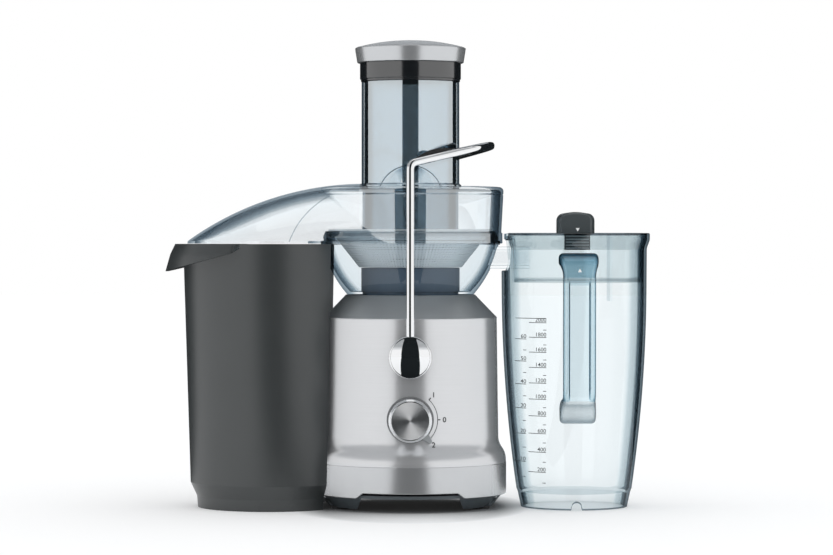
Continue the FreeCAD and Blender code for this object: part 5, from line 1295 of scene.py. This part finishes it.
handle = lofted("jug_handle", [grip_section(i) for i in range(len(path))], finishes["handle_plastic"])


def handle_finish(centre, normal):
    """2 on the lower root, 3 on the head, 0 in the channel, 1 on the sides."""
    if centre.z < HANDLE_HEEL_Z - ROOT_DOWN:
        return 2
    if centre.z > CHANNEL_TOP + CHANNEL_RUN:
        return 3
    return 0 if abs(centre.x - jug_x) < CHANNEL_HALF - 0.5 and centre.z < CHANNEL_TOP else 1


dress(handle, ["handle_side", "root_plastic", "handle_head"], handle_finish)
seat(handle, "jug", "jug_plastic", crease=40)

# %% [markdown]
# ## Jug lid
# The lid drops into the rim. It is cut away round the cover of the machine, and its skirt is open
# toward the spout, so it is one more lathe outline that follows the angle. The froth plate hangs
# under it, and a black tab stands on it for the fingers, with ribs that grip its stem.

# %% Lid
lid_low, lid_high = span("jug_lid")
LID_EDGE_R, LID_NECK_R, LID_SKIRT_R, LID_WALL = 69.4, 66.5, 66.2, 2.0
LID_CLEAR_R = 92.0
LID_BEAD, LID_BEAD_HIGH = 1.2, 3.6
LID_OPEN_Z = 255.0


def lid_reach(angle):
    """How far the lid goes at an angle before it would meet the machine's cover."""
    along, beside = math.cos(angle), JUG_OVAL * math.sin(angle)
    a, b, c = along ** 2 + beside ** 2, 2 * jug_x * along, jug_x ** 2 - LID_CLEAR_R ** 2
    inside = b ** 2 - 4 * a * c
    if along > 0 or inside < 0:
        return LID_EDGE_R
    return min(LID_EDGE_R, (-b - math.sqrt(inside)) / (2 * a))


LID_SHOULDER_Z, LID_NECK_Z, LID_SKIRT_Z = 256.5, 245.5, 225.5
inner_r = LID_SKIRT_R - LID_WALL


def lid_outline(angle):
    """Lid section: top, edge, skirt with a bead inside, and the underside."""
    edge, top = lid_reach(angle), lid_high.z
    facing_spout = math.cos(angle) < 0 and abs(RIM_R * JUG_OVAL * math.sin(angle)) < NOTCH_HALF
    low = LID_OPEN_Z if facing_spout else lid_low.z
    skin = [(edge - 0.6, top), (edge, top - 0.6), (edge, LID_SHOULDER_Z), (LID_NECK_R, LID_NECK_Z),
            (LID_SKIRT_R, LID_SKIRT_Z), (LID_SKIRT_R, low + LID_BEAD_HIGH), (LID_SKIRT_R, low)]
    skin = [(min(radius, edge), max(z, low)) for radius, z in skin]
    bead = [(inner_r - LID_BEAD, low), (inner_r - LID_BEAD, low + LID_BEAD_HIGH)]
    under = [(inner_r, low + LID_BEAD_HIGH + 1), (LID_NECK_R - LID_WALL, LID_NECK_Z + 1),
             (LID_EDGE_R - LID_WALL - 0.6, top - LID_WALL)]
    under = [(min(radius, edge - LID_WALL), min(max(z, low), top - LID_WALL)) for radius, z in bead + under]
    return [(0, top)] + skin + under + [(0, top - LID_WALL)]


lid = turned("jug_lid", lid_outline, finishes["lid_plastic"], centre=(jug_x, 0), oval=JUG_OVAL, steps=300)


def lid_finish(centre, normal):
    """2 on the thick lower edge, 1 on level faces, 0 on the skirt."""
    return 2 if centre.z < lid_low.z + LID_BEAD_HIGH else 1 if abs(normal.z) > LEVEL else 0


dress(lid, ["floor_clear", "lid_edge"], lid_finish)
seat(lid, "jug_lid", "jug_plastic", "jug_lid", crease=40)
frame["nodes"]["froth_separator"].material_slots[0].material = finishes["faint_clear"]

# %% Tab
tab_low, tab_high = span("lid_tab")
TAB_EDGE = 2.0
TAB_STEM_HALF, TAB_STEM_FRONT, TAB_STEM_BACK = 12.0, -64.0, -57.0
TAB_FRONT_HALF, TAB_BACK_HALF, TAB_ASIDE = 15.4, 18.0, 1.5
tab_x = jug_x - TAB_ASIDE
tab_middle = (tab_x, lid_high.z + 6)


def tab_outline(half):
    """Tab seen from the front, with a slightly arched top."""
    top, shoulder, crown = tab_high.z - 1.5, 7.0, 40.0
    return rounded([(tab_x - half, lid_high.z), (tab_x + half, lid_high.z), (tab_x + half, top, shoulder),
                    (tab_x, tab_high.z + 1.2, crown), (tab_x - half, top, shoulder)], steps=8)


front, back = tab_outline(TAB_FRONT_HALF), tab_outline(TAB_BACK_HALF)
layers = [(shrunk(front, TAB_EDGE, tab_middle), tab_low.y), (front, tab_low.y + TAB_EDGE),
          (back, tab_high.y - TAB_EDGE), (shrunk(back, TAB_EDGE, tab_middle), tab_high.y)]
tab = lofted("lid_tab", [[(x, y, z) for x, z in outline] for outline, y in layers], finishes["tab_plastic"])
stem_shape = [(jug_x + side * TAB_STEM_HALF, y) for side, y in ((-1, TAB_STEM_FRONT), (1, TAB_STEM_FRONT),
                                                               (1, TAB_STEM_BACK), (-1, TAB_STEM_BACK))]
stem = lofted("tab_stem", [[(x, y, z) for x, y in stem_shape] for z in (tab_low.z, lid_high.z + 1)],
              finishes["tab_plastic"])
cut(tab, stem, "UNION")
seat(tab, "jug_lid", "black_plastic", "lid_tab", crease=40)

# %% [markdown]
# ## Printed marks
# The speed marks and the jug's scale are pad-printed ink, so they have no thickness to speak of:
# flat shapes, a hair above the surface. Each is drawn flat, in millimetres across and up, and then
# pressed on: a ray sent from the front finds where the surface is. Text is turned into a mesh
# first. The levels of the scale aren't measured off: they come from the volume under each height.

# %% Print tools
INK_LIFT = 0.12


def strip(parts):
    """Faces between two rows of points."""
    count = parts + 1
    return [(i, i + 1, count + i + 1, count + i) for i in range(parts)]


def bar_mark(x0, x1, z, thick, parts=10):
    """Level line from x0 to x1, in short parts so that it can bend."""
    xs = [x0 + (x1 - x0) * i / parts for i in range(parts + 1)]
    points = [(x, z + side * thick / 2) for side in (-1, 1) for x in xs]
    return points, strip(parts)


def arc_mark(centre, radius, start, end, thick, parts=32):
    """Arc about a centre between two angles in degrees."""
    angles = [math.radians(start + (end - start) * i / parts) for i in range(parts + 1)]
    points = [(centre[0] + r * math.cos(a), centre[1] + r * math.sin(a))
              for r in (radius - thick / 2, radius + thick / 2) for a in angles]
    return points, strip(parts)


def ray_mark(centre, angle, start, end, thick):
    """Short line that points away from a centre."""
    along = Vector((math.cos(math.radians(angle)), math.sin(math.radians(angle))))
    side = Vector((-along.y, along.x)) * thick / 2
    middle = Vector(centre)
    points = [middle + along * start - side, middle + along * end - side, middle + along * end + side,
              middle + along * start + side]
    return [tuple(p) for p in points], [(0, 1, 2, 3)]


def text_mark(text, x, z, size, align="RIGHT", weight=0.0):
    """Letters set on a base line; weight swells their strokes."""
    curve = bpy.data.curves.new("text", "FONT")
    curve.body = text
    curve.size = size
    curve.align_x = align
    curve.offset = weight
    holder = bpy.data.objects.new("text", curve)
    mesh = bpy.data.meshes.new_from_object(holder)
    marks = [(x + v.co.x, z + v.co.y) for v in mesh.vertices], [tuple(p.vertices) for p in mesh.polygons]
    bpy.data.objects.remove(holder)
    return marks


def pressed(name, marks, under, finish, body):
    """One piece from many marks, each point moved onto the piece under it."""
    def depth(x, z):
        """How far back the surface is, less the ink's lift."""
        found, place, _, _ = under.ray_cast(Vector((x * MM, -1, z * MM)), Vector((0, 1, 0)))
        return place.y / MM - INK_LIFT if found else 0.0

    points, faces = [], []
    for flat, shapes in marks:
        faces += [tuple(len(points) + i for i in shape) for shape in shapes]
        points += [(x, depth(x, z), z) for x, z in flat]
    piece = make(name, points, faces, finish)
    for face in piece.data.polygons:
        if face.normal.y > 0:
            face.flip()
    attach(piece, body)
    riders.setdefault(body, []).append(piece)
    print(name, "has", len(marks), "marks")
    return piece


# %% Speed marks
MARK_R, MARK_TICK, MARK_LINE = 25.6, 2.6, 0.6
MARK_ANGLES = (47, 0, -47)
SPEED_DIGITS = ("1", "0", "2")
TICK_LINE, TICK_SUNK = 1.0, 0.2
DIGIT_R, DIGIT_SIZE, DIGIT_WEIGHT, DIGIT_DOWN = 32.0, 6.8, 0.12, 0.34
dial_spot = (0, dial_z)
marks = [arc_mark(dial_spot, MARK_R, MARK_ANGLES[-1], MARK_ANGLES[0], MARK_LINE)]
for angle, digit in zip(MARK_ANGLES, SPEED_DIGITS):
    marks.append(ray_mark(dial_spot, angle, MARK_R - TICK_SUNK, MARK_R + MARK_TICK, TICK_LINE))
    spot = Vector((math.cos(math.radians(angle)), math.sin(math.radians(angle)))) * DIGIT_R
    base_line = dial_z + spot.y - DIGIT_SIZE * DIGIT_DOWN
    marks.append(text_mark(digit, spot.x, base_line, DIGIT_SIZE, "CENTER", DIGIT_WEIGHT))
pressed("speed_marks", marks, frame["nodes"]["body_wrap"], finishes["black_ink"], "base")

# %% Jug scale
MILLILITRE, OUNCE = 1000.0, 29574.0
SCALE_RIGHT, SCALE_LEFT, SCALE_LONG, SCALE_SHORT, SCALE_SIDE = -29.2, -47.5, 16.0, 3.0, 10.0
SCALE_LINE, SCALE_TEXT, SCALE_WEIGHT, TEXT_UP = 0.62, 5.2, 0.04, 0.9
STEP_UP = 0.05


def jug_level(volume):
    """Height at which the jug holds this many cubic millimetres."""
    z, held = FLOOR_TOP, 0.0
    while held < volume:
        held += math.pi * JUG_OVAL * (jug_side(z) - JUG_WALL) ** 2 * STEP_UP
        z += STEP_UP
    return z


def scale_column(edge, unit, step, last, long, parts):
    """Long lines with their numbers up to the last amount, and short lines half way between."""
    column = []
    for amount in range(step, last + 1, step):
        z = jug_level(amount * unit)
        column.append(bar_mark(edge - long, edge, z, SCALE_LINE, parts))
        column.append(text_mark(str(amount), edge, z + TEXT_UP, SCALE_TEXT, weight=SCALE_WEIGHT))
        half_z = jug_level((amount - step / 2) * unit)
        column.append(bar_mark(edge - SCALE_SHORT, edge, half_z, SCALE_LINE, parts=2))
    return column


FULL, FULL_ABOVE = 2000, 4.0
right, left = jug_x + SCALE_RIGHT, jug_x + SCALE_LEFT
marks = scale_column(right, MILLILITRE, 200, FULL, SCALE_LONG, 10)
marks += scale_column(left, OUNCE, 10, 60, SCALE_SIDE, 6)
full_z = jug_level(FULL * MILLILITRE) + FULL_ABOVE
marks.append(bar_mark(left - SCALE_SIDE, right, full_z, SCALE_LINE, parts=20))
pressed("jug_scale", marks, jug, finishes["ink"], "jug")

# %% Triangles that show how lid and jug line up
TRIANGLE = 3.6
TRIANGLE_HIGH = TRIANGLE * 0.9


def triangle_mark(x, z, up):
    """Triangle that points up (1) or down (-1)."""
    return [(x - TRIANGLE / 2, z), (x + TRIANGLE / 2, z), (x, z + up * TRIANGLE_HIGH)], [(0, 1, 2)]


HANDLE_MARK_Z, TAB_MARK_Z = 225.5, 266.5
pressed("handle_mark", [triangle_mark(jug_x, HANDLE_MARK_Z, 1)], handle, finishes["white_ink"], "jug")
pressed("tab_mark", [triangle_mark(jug_x, TAB_MARK_Z, -1)], tab, finishes["white_ink"], "jug_lid")

# %% [markdown]
# ## Ribs on the tab's stem
# The stem of the tab is ribbed where it clips into the lid. A second, smaller tree puts equal
# bars in a row, and its inputs are their number, step and size.

# %% Ribs
row, given = new_tree("row_of_bars", [("Count", "Int"), ("Start", "Vector"), ("Step", "Vector"),
                                      ("Size", "Vector"), ("Finish", "Material")])
line = add(row, "GeometryNodeMeshLine", links={"Count": given["Count"], "Start Location": given["Start"],
                                               "Offset": given["Step"]})
one = add(row, "GeometryNodeMeshCube", links={"Size": given["Size"]})
bars = add(row, "GeometryNodeInstanceOnPoints",
           links={"Points": line.outputs["Mesh"], "Instance": one.outputs["Mesh"]})
finish_tree(row, bars.outputs["Instances"], given["Finish"])
RIBS, RIB_STEP, RIB_TALL, RIB_DEEP, RIB_SOFT = 5, 2.8, 1.3, 1.6, 0.4
first_rib = Vector((jug_x, TAB_STEM_FRONT - 0.3, tab_low.z + 1.6))
rib_size = Vector((2 * TAB_STEM_HALF - 2, RIB_DEEP, RIB_TALL))
ribs = grown("tab_ribs", row, {
    "Count": RIBS, "Start": first_rib * MM, "Step": (0, 0, RIB_STEP * MM), "Size": rib_size * MM,
    "Finish": finishes["rib_plastic"]})
soft = ribs.modifiers.new("soft", "BEVEL")
soft.width = RIB_SOFT * MM
soft.segments = 3
freeze(ribs)
seat(ribs, "jug_lid", "black_plastic")

# %% [markdown]
# ## Studio
# The object stands on a white table in a white tent. A tent alone leaves metal and clear plastic
# without form, so dark cards stand outside the picture, as in a photographer's studio: one behind
# the camera with a strip above it, two beside the backdrop, one on the table before each of them,
# and a grey ring overhead. Their reflections draw the dark stripe down the middle and the dark
# edges. Only reflections show the cards: the camera and the soft light pass them by.

# %% Studio
def card(name, corners, tone, low_tone=None):
    """Dark card; with a second tone it fades to that one toward its lower edge."""
    mesh = bpy.data.meshes.new(name)
    mesh.from_pydata(corners, [], [(0, 1, 2, 3)])
    piece = bpy.data.objects.new(name, mesh)
    bpy.context.scene.collection.objects.link(piece)
    finish, tree = new_finish(name)
    felt = add(tree, "ShaderNodeBsdfDiffuse", {"Color": linear(tone)})
    if low_tone:
        heights = [corner[2] for corner in corners]
        place = add(tree, "ShaderNodeTexCoord").outputs["Object"]
        height = add(tree, "ShaderNodeSeparateXYZ", links={0: place}).outputs["Z"]
        rise = add(tree, "ShaderNodeMapRange", {"From Min": min(heights) - MM, "From Max": max(heights)},
                   {"Value": height})
        colour = add(tree, "ShaderNodeMix", {"data_type": "RGBA", 6: linear(low_tone), 7: linear(tone)},
                     {0: rise.outputs["Result"]})
        tree.links.new(colour.outputs[2], felt.inputs["Color"])
    add(tree, "ShaderNodeOutputMaterial", links={"Surface": felt.outputs[0]})
    mesh.materials.append(finish)
    piece.visible_camera = False
    piece.visible_diffuse = False
    piece.visible_shadow = False
    return piece


CARD_AWAY, CARD_TALL = 4.0, 4.0
BLACK_FELT = "#1E2224"


def round_about(away, angles, height):
    """Points round the object, at angles in degrees from the camera's side."""
    turns = [math.radians(angle) for angle in angles]
    return [(away * math.sin(turn), -away * math.cos(turn), height) for turn in turns]


def upright_card(name, start, end):
    """Black card that stands between two angles."""
    feet = round_about(CARD_AWAY, (start, end), 0)
    return card(name, feet + round_about(CARD_AWAY, (end, start), CARD_TALL), BLACK_FELT)


def level_card(name, start, end, near, height):
    """Level black card between two angles, from this near to the upright cards."""
    near_side = round_about(near, (start, end), height)
    return card(name, near_side + round_about(CARD_AWAY, (end, start), height), BLACK_FELT)


print("cards", CARD_AWAY, "m away")

# %% Cards and tent
GAP = 19
FLAG_START, FLAG_END = 118, 180
upright_card("card_behind_camera", -GAP, GAP)
upright_card("card_right", FLAG_START, FLAG_END)
upright_card("card_left", -FLAG_END, -FLAG_START)
NEAR, NEAR_REAR, CARD_LIFT = 0.148, 0.25, 0.002
level_card("table_card_front", -GAP, GAP, NEAR, CARD_LIFT)
level_card("table_card_right", FLAG_START, FLAG_END, NEAR_REAR, CARD_LIFT)
level_card("table_card_left", -FLAG_END, -FLAG_START, NEAR_REAR, CARD_LIFT)
STRIP_NEAR, STRIP_HIGH = 1.3, 2.95
level_card("card_over_camera", -GAP, GAP, STRIP_NEAR, STRIP_HIGH)
RING_NEAR, RING_AWAY, RING_TONE, RING_LOW_TONE = 1.0, 4.4, "#B4B6B8", "#F4F5F6"
RING_LOW, RING_TURN, RING_HIGH = 1.3, 2.0, 3.0
RING_PARTS = (("front_right", GAP, 60), ("right", 60, 110), ("left", -110, -60), ("front_left", -60, -GAP))
for name, start, end in RING_PARTS:
    top_side = round_about(RING_AWAY, (end, start), RING_HIGH)
    card("overhead_" + name, round_about(RING_NEAR, (start, end), RING_HIGH) + top_side, RING_TONE)
    card("shade_" + name, top_side + round_about(RING_AWAY, (start, end), RING_TURN), RING_TONE)
    card("shade_low_" + name, round_about(RING_AWAY, (end, start), RING_TURN)
         + round_about(RING_AWAY, (start, end), RING_LOW), RING_TONE, RING_LOW_TONE)
HALF_ROOF, ROOF_START, ROOF_LOW = 2.3, 1.6, 1.1
ROOF_TONE, ROOF_LOW_TONE = "#3A4046", "#C8CCD0"
card("card_rear_roof", [(-HALF_ROOF, ROOF_START, CARD_TALL), (HALF_ROOF, ROOF_START, CARD_TALL),
                        (HALF_ROOF, CARD_AWAY, ROOF_LOW), (-HALF_ROOF, CARD_AWAY, ROOF_LOW)],
     ROOF_TONE, ROOF_LOW_TONE)

world = bpy.data.worlds.new("white_tent")
world.use_nodes = True
world.node_tree.nodes.clear()
tent = add(world.node_tree, "ShaderNodeBackground", {"Color": (1, 1, 1, 1), "Strength": 1.0})
add(world.node_tree, "ShaderNodeOutputWorld", links={"Surface": tent.outputs[0]})
bpy.context.scene.world = world
print("tent of strength 1")

# %% [markdown]
# ## Table
# A white table shows little but the soft contact shadow under the base. That shadow is partly painted:
# ambient occlusion darkens the paper's colour and its glow, an oval mask keeps this painted shadow to
# the base, and a faint glow toward camera and mirrors only lifts the paper to the white of the tent,
# so no extra light falls on the object.

# %% Table
TABLE_HALF = 12.0
table_mesh = bpy.data.meshes.new("table")
table_mesh.from_pydata([(-TABLE_HALF, -TABLE_HALF, 0), (TABLE_HALF, -TABLE_HALF, 0),
                        (TABLE_HALF, TABLE_HALF, 0), (-TABLE_HALF, TABLE_HALF, 0)], [], [(0, 1, 2, 3)])
table = bpy.data.objects.new("table", table_mesh)
bpy.context.scene.collection.objects.link(table)
table_top, tree = new_finish("white_table")
eye = add(tree, "ShaderNodeLightPath")
seen = add(tree, "ShaderNodeMath", {"operation": "ADD"},
           {0: eye.outputs["Is Camera Ray"], 1: eye.outputs["Is Glossy Ray"]})
seen = add(tree, "ShaderNodeMath", {"operation": "ADD", "use_clamp": True},
           {0: seen.outputs[0], 1: eye.outputs["Is Transmission Ray"]})
SHADOW_REACH, SHADOW_IN, SHADOW_OUT, SHADOW_SQUASH, SHADOW_DEEPEST = 0.16, 0.085, 0.117, 0.6, 0.3
SHADOW_TONE, PAPER_TONE = "#86888A", "#F2F3F4"
GLOW_RISE, GLOW_LEAST = 0.128, 0.012
nook = add(tree, "ShaderNodeAmbientOcclusion", {"Distance": SHADOW_REACH})
squash = add(tree, "ShaderNodeVectorMath", {"operation": "MULTIPLY", 1: (1.0, SHADOW_SQUASH, 0.0)},
             {0: add(tree, "ShaderNodeTexCoord").outputs["Object"]})
away = add(tree, "ShaderNodeVectorMath", {"operation": "LENGTH"}, {0: squash.outputs["Vector"]})
outside = add(tree, "ShaderNodeMapRange", {"From Min": SHADOW_IN, "From Max": SHADOW_OUT},
              {"Value": away.outputs["Value"]})
open_nook = add(tree, "ShaderNodeMapRange", {"From Min": SHADOW_DEEPEST}, {"Value": nook.outputs["AO"]})
open_air = add(tree, "ShaderNodeMath", {"operation": "MAXIMUM"},
               {0: open_nook.outputs["Result"], 1: outside.outputs["Result"]})
# Painted shadow: the paper's colour and glow darken where ambient occlusion finds the base close by.
tone = add(tree, "ShaderNodeMix", {"data_type": "RGBA", 6: linear(SHADOW_TONE), 7: linear(PAPER_TONE)},
           {0: open_air.outputs[0]})
shine = add(tree, "ShaderNodeMath", {"operation": "MULTIPLY_ADD", 1: GLOW_RISE, 2: GLOW_LEAST},
            {0: open_air.outputs[0]})
paper = add(tree, "ShaderNodeBsdfDiffuse", links={"Color": tone.outputs[2]})
glow = add(tree, "ShaderNodeEmission", {"Color": (1, 1, 1, 1)}, {"Strength": shine.outputs[0]})
lit = add(tree, "ShaderNodeAddShader", links={0: paper.outputs[0], 1: glow.outputs[0]})
either = add(tree, "ShaderNodeMixShader", links={0: seen.outputs[0], 1: paper.outputs[0], 2: lit.outputs[0]})
add(tree, "ShaderNodeOutputMaterial", links={"Surface": either.outputs[0]})
table_mesh.materials.append(table_top)
print("table", 2 * TABLE_HALF, "m wide")

# %% [markdown]
# ## What the steel mirrors
# Bin and jug stand a finger's width from the steel, and a mirror that close shows little else.
# A studio photographer shoots such pieces apart; here they are left out of mirror rays instead.

# %% Neighbours out of the mirror
for body in ("bin", "jug", "jug_lid"):
    nodes = frame["record"]["behaviour"]["bodies"][body]
    for piece in [frame["nodes"][node] for node in nodes] + riders.get(body, []):
        piece.visible_glossy = False
    print(body, "left out of mirrors")

# %% [markdown]
# ## Camera
# The photograph was taken from about three metres with a long lens, level with the bowl, and
# tipped down by less than a degree to centre the machine.

# %% Camera
SENSOR_MM, LENS_MM, FAR_CLIP = 36.0, 135.05, 100.0
CAMERA_AT, TIPPED_DOWN = (0.0058, -3.0, 0.2525), 0.6325
camera = bpy.data.objects.new("camera", bpy.data.cameras.new("camera"))
camera.data.sensor_width = SENSOR_MM
camera.data.lens = LENS_MM
camera.data.clip_end = FAR_CLIP
camera.location = CAMERA_AT
camera.rotation_euler = (math.radians(90 - TIPPED_DOWN), 0, 0)
bpy.context.scene.collection.objects.link(camera)
bpy.context.scene.camera = camera
bpy.context.scene.view_settings.view_transform = "Standard"
bpy.context.scene.cycles.transparent_max_bounces = 40
print("camera at", list(camera.location))
